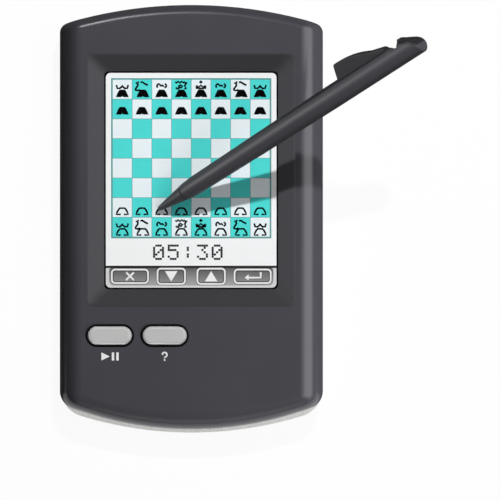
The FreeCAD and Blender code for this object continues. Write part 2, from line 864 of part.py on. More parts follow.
def make_case_screws():
    return group("case_screws", [
        make_screw("case_screw", x, y, dims.screw_seat, dims.screw_radius, dims.screw_length,
                   dims.screw_head_radius, dims.screw_head_height) for x, y in case_screw_places])


# Screen

def make_screen_surround():
    flange_low = inner_face - dims.flange_thickness
    plate = rounded_plate("surround_plate", surround_outer_width, surround_outer_height,
                          dims.surround_corner, (surround_seat, face), 0, screen_y)
    flange = rounded_plate("surround_flange", surround_outer_width + 2 * dims.flange_width,
                           surround_outer_height + 2 * dims.flange_width,
                           dims.surround_corner + dims.flange_width,
                           (flange_low, inner_face), 0, screen_y)
    room = rolled_block("flange_room", dims.wall + dims.surround_gap, (parting, inner_face))
    through = (flange_low - dims.wall, face + dims.wall)
    window = rounded_plate("surround_window", dims.window_width, dims.window_height,
                           dims.window_corner, through, 0, screen_y)
    pocket = rounded_plate("surround_pocket", touch_width + 2 * dims.touch_gap,
                           touch_height + 2 * dims.touch_gap, dims.panel_corner,
                           (flange_low - dims.wall, surround_seat), 0, screen_y)
    blank = join("surround_blank", [plate, overlap("flange_fitted", flange, room)])
    return cut("screen_surround", blank, make_dish(), window, pocket)


def make_dish():
    """The slopes that fall from the face to the edge of the window, and their round corners."""
    body = new_body("surround_dish")
    floor = new_sketch(body, level=window_edge)
    draw_rounded_rectangle(floor, dims.window_width, dims.window_height, dims.window_corner, screen_y)
    rim = new_sketch(body, level=face)
    draw_rounded_rectangle(rim, surround_outer_width - 2 * dims.surround_rim,
                           surround_outer_height - 2 * dims.surround_rim,
                           dims.surround_corner - dims.surround_rim, screen_y)
    slopes = body.newObject("PartDesign::AdditiveLoft", "surround_slopes")
    slopes.Profile = floor
    slopes.Sections = [rim]
    slopes.Ruled = True
    return body


def make_screen_gasket():
    z = (touch_top, surround_seat)
    sheet = rounded_plate("gasket_sheet", touch_width, touch_height, dims.panel_corner, z, 0, screen_y)
    view = rounded_plate("gasket_view", dims.window_width - 2 * dims.gasket_line,
                         dims.window_height - 2 * dims.gasket_line, dims.window_corner, z, 0, screen_y)
    return cut("screen_gasket", sheet, view)


def make_touch_panel():
    return rounded_plate("touch_panel", touch_width, touch_height, dims.panel_corner,
                         (touch_bottom, touch_top), 0, screen_y)


def key_film_bounds(clearance=0):
    low = window_low - dims.glass_border - clearance
    return ((-glass_width / 2 - clearance, glass_width / 2 + clearance),
            (low, film_high),
            (glass_top - dims.film_thickness, glass_top))


def make_key_film():
    return block("key_film", *key_film_bounds())


def make_lcd_glass():
    plates = block("glass_plates", span(as_size(0), glass_width), (glass_low, glass_high),
                   (glass_bottom, glass_top))
    ledge = block("glass_contact_ledge", span(as_size(0), glass_width),
                  (glass_high, glass_high + dims.glass_ledge),
                  (glass_bottom, glass_bottom + dims.ledge_thickness))
    return join("lcd_glass", [plates, ledge])


def make_lcd_reflector():
    return block("lcd_reflector", span(as_size(0), glass_width), (glass_low, glass_high),
                 (reflector_bottom, glass_bottom))


def make_screen_tray():
    """The moulding that stands on the board and carries the glass and the touch panel."""
    gap = dims.tray_clearance
    blank = rounded_plate("tray_blank", tray_width, tray_height, dims.panel_corner,
                          (board_top, touch_bottom), 0, screen_y)
    pocket = block("tray_pocket", span(as_size(0), glass_width + 2 * gap),
                   (film_high, glass_ribbon_drop), (reflector_bottom, touch_bottom))
    hole = block("tray_hole", span(as_size(0), glass_width - 2 * dims.tray_ledge),
                 (glass_low + dims.tray_ledge, glass_high - dims.tray_ledge),
                 (board_top, reflector_bottom))
    x, y, z = key_film_bounds(gap)
    film_bed = block("tray_film_bed", x, y, (z[0], touch_bottom))
    ribbon_gate = block("tray_ribbon_gate", span(as_size(0), dims.glass_ribbon_width + 2 * gap),
                        (glass_high + dims.glass_ledge, tray_high), (board_top, touch_bottom))
    return cut("screen_tray", blank, pocket, hole, film_bed, ribbon_gate)


def make_ribbon(name, x, width, path):
    """A thin strip that follows straight runs in the YZ plane, as thick upwards or outwards."""
    body = new_body(name)
    sketch = new_sketch(body, "YZ_Plane", x)
    draw_polygon(sketch, path)
    pad(body, sketch, width, both_ways=True)
    return body


def make_lcd_ribbon():
    thick = dims.ribbon_thickness
    start = glass_high + dims.glass_ribbon_setback
    on_ledge = glass_bottom + dims.ledge_thickness
    drop = glass_ribbon_drop
    foot = tray_high + dims.glass_ribbon_foot
    return make_ribbon("lcd_ribbon", 0, dims.glass_ribbon_width, [
        (start, on_ledge), (drop, on_ledge), (drop, board_top), (foot, board_top),
        (foot, board_top + thick), (drop + thick, board_top + thick),
        (drop + thick, on_ledge + thick), (start, on_ledge + thick)])


def make_touch_ribbon():
    thick = dims.ribbon_thickness
    edge = screen_y - touch_height / 2
    high = touch_bottom + thick
    drop = touch_ribbon_drop
    low = touch_plug_z
    plug = drop - dims.socket_length / 2
    return make_ribbon("touch_ribbon", touch_ribbon_x, dims.touch_ribbon_width, [
        (edge, high), (drop, high), (drop, low), (plug, low),
        (plug, low + thick), (drop - thick, low + thick),
        (drop - thick, high + thick), (edge, high + thick)])


def make_touch_socket():
    thick = dims.ribbon_thickness
    front = touch_ribbon_drop - dims.socket_gap
    low = touch_plug_z
    housing = block("socket_housing", span(touch_ribbon_x, dims.socket_width),
                    (front - dims.socket_length, front), (board_top, board_top + dims.socket_height))
    slot = block("socket_slot", span(touch_ribbon_x, dims.touch_ribbon_width + 2 * thick),
                 (front - dims.socket_length / 2, front), (low - thick, low + 2 * thick))
    return cut("touch_socket", housing, slot)


# Circuit board

def make_main_board():
    z = (board_bottom, board_top)
    main = block("board_middle", (-board_half, board_half), (board_low, tray_high), z)
    head = block("board_head", span(as_size(0), dims.board_head_width), (tray_high, board_head_high), z)
    foot = block("board_foot", span(as_size(0), dims.board_foot_width), (board_foot_low, board_low), z)
    holes = [rod("board_hole", dims.board_screw_radius + dims.board_hole_clearance,
                 dims.board_thickness, x, y, board_bottom) for x, y in board_screw_places]
    return cut("main_board", join("board_blank", [main, head, foot]), *holes)


def make_board_screws():
    return group("board_screws", [
        make_screw("board_screw", x, y, board_bottom, dims.board_screw_radius, dims.board_screw_length,
                   dims.board_screw_head_radius, dims.board_screw_head_height)
        for x, y in board_screw_places])


def make_processor():
    """A flat dome of resin over the chip, on the underside of the board."""
    radius = (dims.blob_radius * dims.blob_radius + dims.blob_height * dims.blob_height) \
        / (2 * dims.blob_height)
    ball = doc.addObject("Part::Sphere", "resin_ball")
    bind(ball, "Radius", radius)
    place(ball, 0, screen_y, board_bottom + radius - dims.blob_height)
    room = block("resin_room", span(as_size(0), REACH), span(screen_y, REACH),
                 (as_size(0), board_bottom))
    return overlap("processor", ball, room)


def make_crystal():
    return stadium_plate("crystal", dims.crystal_length, dims.crystal_width,
                         (board_bottom - dims.crystal_height, board_bottom),
                         as_size(0), screen_y - dims.crystal_drop)


def make_capacitors():
    return group("capacitors", [
        rod("capacitor", dims.capacitor_radius, dims.capacitor_height,
            side * dims.capacitor_spacing / 2, screen_y + dims.capacitor_rise,
            board_bottom - dims.capacitor_height) for side in (-1, 1)])


def make_buzzer():
    low = board_bottom - dims.buzzer_height
    can = rod("buzzer_can", dims.buzzer_radius, dims.buzzer_height, dims.buzzer_x, dims.buzzer_y, low)
    mouth = rod("buzzer_mouth", dims.sound_hole_radius, dims.buzzer_height / 2,
                dims.buzzer_x, dims.buzzer_y, low)
    return cut("buzzer", can, mouth)


# Push buttons

def make_button(name, x):
    body = new_body(f"{name}_button")
    flange = new_sketch(body, level=cap_bottom)
    draw_stadium(flange, dims.button_length + 2 * dims.button_flange,
                 dims.button_width + 2 * dims.button_flange, x, button_y)
    pad(body, flange, dims.button_flange_thickness)
    cap = new_sketch(body, level=cap_flange_top)
    draw_stadium(cap, dims.button_length, dims.button_width, x, button_y)
    pad(body, cap, cap_top - cap_flange_top)
    round_edges(body, dims.button_crown_radius, lambda edge: lies_at(edge, cap_top.value))
    return body


def dome_room():
    """Height of the hollow under a dome's crown: the travel, a little spare, and the pill."""
    return dims.press_travel + dims.press_spare + dims.pill_thickness


def make_dome(name, x):
    body = new_body(f"{name}_dome")
    sketch = new_sketch(body, "XZ_Plane")
    height = cap_bottom - board_top
    hollow = dims.dome_base_radius - dims.dome_base_thickness - dims.dome_skin
    draw_polygon(sketch, [
        (hollow, 0), (dims.dome_base_radius, 0),
        (dims.dome_base_radius, dims.dome_base_thickness),
        (hollow + dims.dome_skin, dims.dome_base_thickness),
        (dims.dome_crown_radius, height), (0, height), (0, dome_room()),
        (dims.dome_crown_radius - dims.dome_skin, dome_room()),
        (hollow, dims.dome_base_thickness)])
    revolve(body, sketch, "Z_Axis")
    return place(body, x, button_y, board_top)


def make_pill(name, x):
    low = board_top + dims.press_travel + dims.press_spare
    return rod(f"{name}_pill", dims.pill_radius, dims.pill_thickness, x, button_y, low)


# Battery compartment

def make_battery_cell(name, y, positive):
    """One cell, with the end that carries its nub on the side of the given sign."""
    can_length = dims.cell_length - dims.nub_height
    nub_tip = bay_right - dims.contact_thickness if positive > 0 else bay_left + dims.contact_thickness
    shoulder = nub_tip - positive * dims.nub_height
    can_start = shoulder - can_length if positive > 0 else shoulder
    nub_start = shoulder if positive > 0 else nub_tip
    can = rod(f"{name}_can", dims.cell_diameter / 2, can_length, can_start, y, cell_axis_z, along="x")
    nub = rod(f"{name}_nub", dims.nub_radius, dims.nub_height, nub_start, y, cell_axis_z, along="x")
    return join(name, [can, nub])


def make_battery_terminals():
    terminals = []
    x = (bay_left, bay_left + dims.contact_thickness)
    for y in cell_rows:
        plate = block("terminal_plate", x, span(y, dims.contact_size), span(cell_axis_z, dims.contact_size))
        tab = block("terminal_tab", x, span(y, dims.tab_width), (cell_axis_z, board_bottom))
        terminals.append(join("terminal", [plate, tab]))
    return group("battery_terminals", terminals)


def make_battery_bridge():
    """A plate that stands across both rows of cells, rounded at its four corners."""
    body = new_body("battery_bridge")
    sketch = new_sketch(body, "YZ_Plane", bay_right - dims.contact_thickness)
    near, far = span(bay_y, 2 * cell_offset + dims.contact_size)
    low, high = span(cell_axis_z, dims.contact_size)
    draw_polygon(sketch, [(near, low), (far, low), (far, high), (near, high)])
    pad(body, sketch, dims.contact_thickness)
    round_edges(body, dims.bridge_corner,
                lambda edge: edge.BoundBox.YLength < TOUCHING and edge.BoundBox.ZLength < TOUCHING)
    return body


def make_battery_springs():
    """A coil behind the flat end of each cell."""
    starts = ((bay_left + dims.contact_thickness, cell_rows[0]),
              (bay_right - dims.contact_thickness - dims.spring_length, cell_rows[1]))
    return group("battery_springs", [make_spring(x, y) for x, y in starts])


def make_spring(x, y):
    body = new_body("spring")
    sketch = new_sketch(body, "XZ_Plane")
    sketch.addGeometry(Part.Circle(FreeCAD.Vector(dims.spring_wire.value / 2, dims.spring_radius.value, 0),
                                   FreeCAD.Vector(0, 0, 1), dims.spring_wire.value / 2), False)
    fix_point(sketch, 0, 3, (dims.spring_wire / 2, dims.spring_radius))
    fix(sketch, "Radius", 0, dims.spring_wire / 2)
    coil = body.newObject("PartDesign::AdditiveHelix", "spring_coil")
    coil.Profile = sketch
    coil.ReferenceAxis = (sketch, ["H_Axis"])
    coil.Mode = "height-turns-angle"
    bind(coil, "Height", dims.spring_length - dims.spring_wire)
    bind(coil, "Turns", dims.spring_turns)
    return place(body, x, y, cell_axis_z)


# Stylus and silo

def make_silo_tube(outer):
    start = silo_mouth_y - dims.silo_depth
    wall = rod("silo_wall", silo_outer, REACH, silo_x, start - dims.silo_wall, silo_z, along="y")
    bore = rod("silo_bore", silo_bore, REACH, silo_x, start, silo_z, along="y")
    slot = block("silo_slot", (silo_x, dims.case_width), (silo_slot_y, REACH),
                 span(silo_z, silo_slot_width))
    return overlap("stylus_silo", cut("silo_open", wall, bore, slot), outer)


def stylus_placement():
    """Sets the round end of the nib on the screen, leaning towards the top right."""
    turn = FreeCAD.Rotation(FreeCAD.Vector(0, 0, 1), dims.stylus_turn.value)
    lean = FreeCAD.Rotation(FreeCAD.Vector(0, 1, 0), -dims.stylus_lean.value)
    rotation = turn.multiply(lean)
    radius = dims.nib_tip_radius.value
    ball = FreeCAD.Vector(dims.touch_x.value, dims.touch_y.value,
                          touch_top.value + radius + dims.touch_clearance.value)
    along = rotation.multVec(FreeCAD.Vector(1, 0, 0))
    return FreeCAD.Placement(ball - along * radius, rotation)


def make_stylus_nib():
    """The plastic point: a cone with a round end, on a tenon that plugs into the barrel."""
    body = new_body("stylus_nib")
    sketch = new_sketch(body)
    tenon_end = dims.nib_length + dims.nib_tenon_length
    draw_polygon(sketch, [(dims.nib_tip_radius, 0), (dims.nib_tip_radius, dims.nib_tip_radius),
                          (dims.nib_length, dims.nib_radius), (dims.nib_length, dims.nib_tenon_radius),
                          (tenon_end, dims.nib_tenon_radius), (tenon_end, 0)])
    revolve(body, sketch, "X_Axis")
    ball = body.newObject("PartDesign::AdditiveSphere", "nib_ball")
    bind(ball, "Radius", dims.nib_tip_radius)
    place(ball, dims.nib_tip_radius)
    body.Placement = stylus_placement()
    return body


def make_stylus_barrel():
    body = new_body("stylus_barrel")
    profile = new_sketch(body)
    start = dims.nib_length
    shoulder = start + dims.shoulder_length
    socket_end = start + dims.nib_tenon_length
    draw_polygon(profile, [
        (start, dims.nib_tenon_radius), (start, dims.neck_radius),
        (start + dims.neck_length, dims.neck_radius),
        (start + dims.neck_length, dims.nib_radius + dims.collar_step),
        (shoulder, dims.shoulder_radius), (shoulder + dims.taper_length, dims.stylus_radius),
        (dims.stylus_length, dims.stylus_radius), (dims.stylus_length, 0),
        (socket_end, 0), (socket_end, dims.nib_tenon_radius)])
    revolve(body, profile, "X_Axis")
    cut_tail(body)
    add_ridge(body)
    body.Placement = stylus_placement()
    return body


def cut_tail(body):
    """Slopes the end of the barrel off on the ridge's side and rounds what is left."""
    slope = new_sketch(body)
    end = dims.stylus_length
    draw_polygon(slope, [(tail_slope_start, dims.hook_reach), (end, tail_slope_end),
                         (end, dims.hook_reach)])
    pocket_through(body, slope)
    round_edges(body, dims.tail_nose_round, is_tail_nose)
    round_edges(body, dims.tail_round, is_tail_rim)


def add_ridge(body):
    """The thumb ridge, as a plate along the barrel with a rounded crest, and its notch."""
    ridge = new_sketch(body)
    draw_polygon(ridge, ridge_profile())
    pad(body, ridge, dims.ridge_width, both_ways=True)
    for x, radius in ((ridge_crest, dims.ridge_front_round),
                      (ridge_crest + dims.ridge_length / 2, dims.ridge_crest_round)):
        round_edges(body, radius, lambda edge: crosses_ridge(edge, x.value))
    round_edges(body, dims.ridge_round, is_ridge_crest)
    notch = new_sketch(body)
    draw_polygon(notch, [(ridge_heel + dims.notch_front_slant, dims.notch_reach),
                         (hook_front - dims.notch_back_slant, dims.notch_reach),
                         (hook_front, dims.hook_reach), (ridge_heel, dims.ridge_heel_reach)])
    pocket_through(body, notch)


def crosses_ridge(edge, x):
    """True for the edge that runs across the crest of the ridge at x."""
    box = edge.BoundBox
    return is_upright(edge) and abs(box.XMin - x) < TOUCHING and box.YMin > dims.stylus_radius.value


def is_tail_nose(edge):
    """True for the edge where the slope meets the flat end of the barrel."""
    box = edge.BoundBox
    at_end = abs(box.XMin - dims.stylus_length.value) < TOUCHING
    return is_upright(edge) and at_end and abs(box.YMin - tail_slope_end.value) < TOUCHING


def is_tail_rim(edge):
    """True for the edges round the end of the barrel, where it was sloped off."""
    middle = edge.valueAt((edge.FirstParameter + edge.LastParameter) / 2)
    on_barrel = abs(math.hypot(middle.y, middle.z) - dims.stylus_radius.value) < TOUCHING
    return on_barrel and edge.BoundBox.XMin > tail_slope_start.value


def is_ridge_crest(edge):
    """True for the long edges along the top of the thumb ridge, on both sides."""
    box = edge.BoundBox
    beside = abs(abs(edge.CenterOfMass.z) - dims.ridge_width.value / 2) < TOUCHING
    return beside and box.ZLength < TOUCHING and box.YMin > dims.stylus_radius.value + TOUCHING


def ridge_profile():
    """Side view of the thumb ridge and of the hook behind its notch, down to the axis."""
    hook_end = tail_slope_start + dims.tail_slope_length / 2
    return [(dims.ridge_start, 0), (ridge_crest, dims.ridge_reach),
            (ridge_crest + dims.ridge_length / 2, dims.ridge_middle_reach),
            (ridge_crest + dims.ridge_length, dims.ridge_back_reach),
            (ridge_heel, dims.ridge_heel_reach), (hook_front, dims.hook_reach),
            (tail_slope_start, dims.hook_reach),
            (hook_end, dims.hook_reach - dims.tail_slope_drop / 2), (hook_end, 0)]


# Assembly

def make_parts():
    rear_outer = make_rear_outer()
    parts = {
        "front_shell": make_front_shell(),
        "rear_shell": make_rear_shell(rear_outer),
        "battery_door": make_battery_door(rear_outer),
        "case_screws": make_case_screws(),
        "screen_surround": make_screen_surround(),
        "screen_gasket": make_screen_gasket(),
        "touch_panel": make_touch_panel(),
        "key_film": make_key_film(),
        "lcd_glass": make_lcd_glass(),
        "lcd_reflector": make_lcd_reflector(),
        "screen_tray": make_screen_tray(),
        "lcd_ribbon": make_lcd_ribbon(),
        "touch_ribbon": make_touch_ribbon(),
        "touch_socket": make_touch_socket(),
        "main_board": make_main_board(),
        "board_screws": make_board_screws(),
        "processor": make_processor(),
        "crystal": make_crystal(),
        "capacitors": make_capacitors(),
        "buzzer": make_buzzer(),
        "battery_cell_upper": make_battery_cell("battery_cell_upper", cell_rows[0], 1),
        "battery_cell_lower": make_battery_cell("battery_cell_lower", cell_rows[1], -1),
        "battery_terminals": make_battery_terminals(),
        "battery_bridge": make_battery_bridge(),
        "battery_springs": make_battery_springs(),
        "stylus_silo": make_silo_tube(rear_outer),
        "stylus_nib": make_stylus_nib(),
        "stylus_barrel": make_stylus_barrel(),
    }
    for name, x in button_places.items():
        parts[f"{name}_button"] = make_button(name, x)
        parts[f"{name}_dome"] = make_dome(name, x)
        parts[f"{name}_pill"] = make_pill(name, x)
    for label, part in parts.items():
        part.Label = label
    return parts


def check(parts):
    failed = [item.Label for item in doc.Objects if {"Invalid", "Error"} & set(item.State)]
    broken = [label for label, part in parts.items()
              if part.Shape.isNull() or not part.Shape.isValid() or not part.Shape.Solids]
    if failed or broken:
        raise RuntimeError(f"failed objects {failed}, broken shapes {broken}")


parts = make_parts()
doc.recompute()
check(parts)
os.makedirs("parts", exist_ok=True)
for label, part in parts.items():
    part.Shape.exportStep(f"parts/{label}.step")
    print(f"{label}: {len(part.Shape.Solids)} solids, {part.Shape.Volume:.1f} mm3")
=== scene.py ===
# %% [markdown]
# # A handheld chess computer, dressed in Blender
# The solids of this little game computer come from a CAD model, already at their real size
# and place. This notebook gives every solid its finish, adds the thin prints that lie on them
# (the board on the display, the touch keys, the signs under the buttons), and lights the part as
# in a product photograph: face up, seen from straight above.

# %% Load the frame
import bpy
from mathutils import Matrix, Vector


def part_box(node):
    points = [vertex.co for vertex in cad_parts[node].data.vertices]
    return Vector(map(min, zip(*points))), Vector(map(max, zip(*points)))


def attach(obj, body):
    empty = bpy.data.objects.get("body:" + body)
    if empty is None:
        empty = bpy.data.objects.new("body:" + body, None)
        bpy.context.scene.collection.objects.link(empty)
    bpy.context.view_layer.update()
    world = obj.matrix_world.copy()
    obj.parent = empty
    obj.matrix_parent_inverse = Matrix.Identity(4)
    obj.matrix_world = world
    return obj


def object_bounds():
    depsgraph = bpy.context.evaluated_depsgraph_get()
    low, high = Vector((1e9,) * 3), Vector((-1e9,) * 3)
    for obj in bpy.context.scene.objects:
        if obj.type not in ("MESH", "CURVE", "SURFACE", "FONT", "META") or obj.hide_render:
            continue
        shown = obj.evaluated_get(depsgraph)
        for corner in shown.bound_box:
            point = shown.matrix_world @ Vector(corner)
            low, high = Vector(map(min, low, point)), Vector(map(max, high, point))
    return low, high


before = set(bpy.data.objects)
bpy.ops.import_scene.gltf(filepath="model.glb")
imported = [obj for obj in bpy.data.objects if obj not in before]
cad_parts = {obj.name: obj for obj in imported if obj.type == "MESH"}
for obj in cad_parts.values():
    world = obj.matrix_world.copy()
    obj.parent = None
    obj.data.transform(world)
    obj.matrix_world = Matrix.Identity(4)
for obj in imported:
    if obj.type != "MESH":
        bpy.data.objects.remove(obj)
cad_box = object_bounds()
print("CAD nodes:", len(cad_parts))

# %% Modules and units
import math

import bmesh
import bpy
from mathutils import Matrix, Vector

MM = 0.001
print("one millimetre is", MM, "Blender units")

# %% [markdown]
# ## Camera
# The photograph looks straight down on the face from far off, so the long sides stay parallel
# and the walls stay hidden. A long lens does that: its focal length follows from the distance
# and from how many millimetres of the face one pixel covers.

# %% Camera
PICTURE_PIXELS = 500
PIXEL_SIZE = 0.31 * MM
CASE_MIDDLE_PIXEL = (191.05, 217.25)
CAMERA_HEIGHT = 1.2

scene = bpy.context.scene
face_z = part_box("front_shell")[1].z
camera_data = bpy.data.cameras.new("camera")
camera_data.lens = camera_data.sensor_width * CAMERA_HEIGHT / (PICTURE_PIXELS * PIXEL_SIZE)
camera = bpy.data.objects.new("camera", camera_data)
camera.location = ((PICTURE_PIXELS / 2 - CASE_MIDDLE_PIXEL[0]) * PIXEL_SIZE,
                   (CASE_MIDDLE_PIXEL[1] - PICTURE_PIXELS / 2) * PIXEL_SIZE,
                   face_z + CAMERA_HEIGHT)
scene.collection.objects.link(camera)
scene.camera = camera
scene.view_settings.view_transform = "Standard"
print(f"lens {camera_data.lens:.0f} mm")

# %% [markdown]
# ## Helpers for finishes
# Paint charts give colours as sRGB hex codes, but shaders work in linear light, so one function
# converts them. A second adds a node with its settings and its inputs, where an input is either
# a value or the output of another node. A third starts a finish from Blender's Principled
# shader, a fourth joins two sockets, and a fifth puts a finish on CAD solids.

# %% Colour and node helpers
# Blender's Mix node holds sockets for every data type, so those for colours go by number.
COLOUR_A, COLOUR_B, MIXED_COLOUR = 6, 7, 2


def colour(code):
    """An sRGB hex code as linear red, green, blue and alpha."""
    channels = [int(code[start:start + 2], 16) / 255 for start in (1, 3, 5)]
    linear = [c / 12.92 if c <= 0.04045 else ((c + 0.055) / 1.055) ** 2.4 for c in channels]
    return (*linear, 1.0)


def add_node(finish, kind, settings=None, inputs=None):
    """Adds a node and fills its inputs with values or with other nodes' outputs."""
    tree = finish.node_tree
    node = tree.nodes.new(kind)
    for name, value in (settings or {}).items():
        setattr(node, name, value)
    for name, value in (inputs or {}).items():
        if isinstance(value, bpy.types.NodeSocket):
            tree.links.new(value, node.inputs[name])
        else:
            node.inputs[name].default_value = value
    return node


# %% Finish helpers
def new_finish(name, **sockets):
    """A finish with one Principled shader, and that shader."""
    finish = bpy.data.materials.new(name)
    finish.use_nodes = True
    shader = finish.node_tree.nodes["Principled BSDF"]
    for socket, value in sockets.items():
        shader.inputs[socket.replace("_", " ")].default_value = value
    return finish, shader


def link(finish, output, node, socket):
    finish.node_tree.links.new(output, node.inputs[socket])


def dress(finish, *nodes):
    """Gives CAD solids a finish."""
    for node in nodes:
        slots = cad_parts[node].data.materials
        slots.clear()
        slots.append(finish)
    print(finish.name, "on", ", ".join(nodes))


# %% [markdown]
# ## Moulded plastic
# Nearly all of the outside is ABS, an injection moulding plastic. The steel mould is etched
# with a fine grain, which the plastic copies: it breaks up reflections and turns gloss into a
# soft satin. So the finish is a dielectric with a bump of tiny grains, and with a slow drift of
# tone and gloss where the melt flowed. A picture of a grain would do as well, but noise needs no
# file and has no seams.

# %% Moulded plastic
FLOW_SIZE = 22 * MM
# Real grains are about a tenth of a millimetre; these are coarser, so that they show.
GRAIN_SIZE = 0.45 * MM
GLOSS_DRIFT = 0.04


def moulded_plastic(name, tone, pale_tone, roughness, grain_depth, gloss=0.5):
    """Etched ABS: grains of the given depth, and a slow drift between two tones."""
    finish, shader = new_finish(name, IOR=1.53, Specular_IOR_Level=gloss)
    place = add_node(finish, "ShaderNodeTexCoord").outputs["Object"]
    flow = add_node(finish, "ShaderNodeTexNoise", inputs={
        "Vector": place, "Scale": 1 / FLOW_SIZE, "Detail": 3.0})
    tones = add_node(finish, "ShaderNodeMix", {"data_type": "RGBA"}, {
        "Factor": flow.outputs["Fac"], COLOUR_A: colour(tone), COLOUR_B: colour(pale_tone)})
    link(finish, tones.outputs[MIXED_COLOUR], shader, "Base Color")
    satin = add_node(finish, "ShaderNodeMapRange", inputs={
        "Value": flow.outputs["Fac"], "To Min": roughness - GLOSS_DRIFT,
        "To Max": roughness + GLOSS_DRIFT})
    link(finish, satin.outputs["Result"], shader, "Roughness")
    grains = add_node(finish, "ShaderNodeTexNoise", inputs={
        "Vector": place, "Scale": 1 / GRAIN_SIZE, "Detail": 2.0})
    bump = add_node(finish, "ShaderNodeBump", inputs={
        "Height": grains.outputs["Fac"], "Strength": 0.5, "Distance": grain_depth})
    link(finish, bump.outputs["Normal"], shader, "Normal")
    return finish


def add_tone(finish, share, tone):
    """Mixes another tone into a moulded plastic, where a share that goes from 0 to 1 is high."""
    own_tones = next(n for n in finish.node_tree.nodes if n.type == "MIX")
    both = add_node(finish, "ShaderNodeMix", {"data_type": "RGBA"}, {
        "Factor": share, COLOUR_A: own_tones.outputs[MIXED_COLOUR], COLOUR_B: colour(tone)})
    shader = finish.node_tree.nodes["Principled BSDF"]
    link(finish, both.outputs[MIXED_COLOUR], shader, "Base Color")


# %% Plastic pieces
# The case: a charcoal satin whose rolled sides draw long soft highlights.
dress(moulded_plastic("charcoal_etched_abs", "#424147", "#45444A", 0.25, 0.02 * MM, gloss=0.6),
      "front_shell")
# Pieces inside the case: plain black, with hardly any highlight.
dress(moulded_plastic("black_moulded_abs", "#101012", "#151517", 0.5, 0.03 * MM),
      "screen_tray", "stylus_silo", "buzzer")
# The ribbon's socket: ivory, slightly waxy.
dress(moulded_plastic("ivory_moulded_nylon", "#D8D0B8", "#DED7C2", 0.45, 0.01 * MM),
      "touch_socket")

# %% [markdown]
# ## Stylus
# The stylus is moulded in the case's charcoal. Its thumb ridge, its sloped end and the edge of the
# barrel on that side are painted darker than the rest, as shade on the side turned away from the
# light. Barrel and ridge are one CAD solid, so the finish finds the grip by its place: a
# Mapping node turns Object coordinates into the stylus's own, with X along the barrel from the
# nib's round end and Y towards the ridge.

# %% Stylus
NIB_BALL = 0.85 * MM
STYLUS_TURN = math.radians(32.1)
STYLUS_LEAN = math.radians(30)
GRIP_EDGE = 2.8 * MM
GRIP_SHADE_BLEND = 0.3 * MM
SLOPE_START = 101.05 * MM
SLOPE_RISE = 0.6

nib_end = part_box("stylus_nib")[0] + Vector((NIB_BALL, NIB_BALL, NIB_BALL))
# The barrel: a duller satin than the case's, so that it shows one soft band of light.
stylus_finish = moulded_plastic("charcoal_satin_abs", "#47464C", "#4B4A50", 0.5, 0.01 * MM)
place = add_node(stylus_finish, "ShaderNodeTexCoord").outputs["Object"]
own_place = add_node(stylus_finish, "ShaderNodeMapping", {"vector_type": "TEXTURE"}, {
    "Vector": place, "Location": nib_end, "Rotation": (0, -STYLUS_LEAN, STYLUS_TURN)})
own = add_node(stylus_finish, "ShaderNodeSeparateXYZ", inputs={
    "Vector": own_place.outputs["Vector"]})
past_slope = add_node(stylus_finish, "ShaderNodeMath", {"operation": "SUBTRACT"}, {
    0: own.outputs["X"], 1: SLOPE_START})
on_slope = add_node(stylus_finish, "ShaderNodeMath", {"operation": "MAXIMUM"}, {
    0: past_slope.outputs["Value"], 1: 0.0})
grip_reach = add_node(stylus_finish, "ShaderNodeMath", {"operation": "MULTIPLY_ADD"}, {
    0: on_slope.outputs["Value"], 1: SLOPE_RISE, 2: own.outputs["Y"]})
grip_painted_shade = add_node(stylus_finish, "ShaderNodeMapRange", inputs={
    "Value": grip_reach.outputs["Value"], "From Min": GRIP_EDGE - GRIP_SHADE_BLEND,
    "From Max": GRIP_EDGE})
# The grip: painted almost black, as shade where it turns away from the light.
add_tone(stylus_finish, grip_painted_shade.outputs["Result"], "#2A292D")
dress(stylus_finish, "stylus_barrel", "stylus_nib")

# %% [markdown]
# ## Screen surround
# The sunken frame is a moulding of its own, duller than the case, so that the eye goes to the
# display. Its two long slopes are painted paler than its two short ones, as light that falls on
# them from the sides. The finish compares how far a point lies from the middle across and along,
# which tells the slopes apart, and it blends the two tones at the corners.

# %% Screen surround
CORNER_BLEND = 7 * MM

surround_low, surround_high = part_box("screen_surround")
surround_middle = (surround_low + surround_high) / 2
surround_half = (surround_high - surround_low) / 2
corner_lead = surround_half.x - surround_half.y
# The short slopes: nearly black and without gloss.
surround_finish = moulded_plastic("dark_matt_abs", "#363638", "#38383A", 0.6, 0.02 * MM, gloss=0.15)
place = add_node(surround_finish, "ShaderNodeTexCoord").outputs["Object"]
from_middle = add_node(surround_finish, "ShaderNodeVectorMath", {"operation": "SUBTRACT"}, {
    0: place, 1: surround_middle})
reach = add_node(surround_finish, "ShaderNodeVectorMath", {"operation": "ABSOLUTE"}, {
    0: from_middle.outputs["Vector"]})
beyond = add_node(surround_finish, "ShaderNodeSeparateXYZ", inputs={
    "Vector": reach.outputs["Vector"]})
lead = add_node(surround_finish, "ShaderNodeMath", {"operation": "SUBTRACT"}, {
    0: beyond.outputs["X"], 1: beyond.outputs["Y"]})
long_side_painted_light = add_node(surround_finish, "ShaderNodeMapRange", {
    "interpolation_type": "SMOOTHSTEP"}, {
    "Value": lead.outputs["Value"], "From Min": corner_lead - CORNER_BLEND / 2,
    "From Max": corner_lead + CORNER_BLEND / 2})
# The long slopes: painted light, a paler charcoal like the case's.
add_tone(surround_finish, long_side_painted_light.outputs["Result"], "#49484C")
dress(surround_finish, "screen_surround")

# %% [markdown]
# ## Buttons
# Each button is a pale grey cap. Its skirt sits in the gap between the cap and the case, and is
# painted black as shade, so that the gap looks like a black ring. Cap and skirt are one CAD
# solid, so the finish changes from black to grey at a height just below the face.

# %% Buttons with a painted shade ring
CAP_DEPTH = 0.35 * MM
SHADE_EDGE = 0.05 * MM

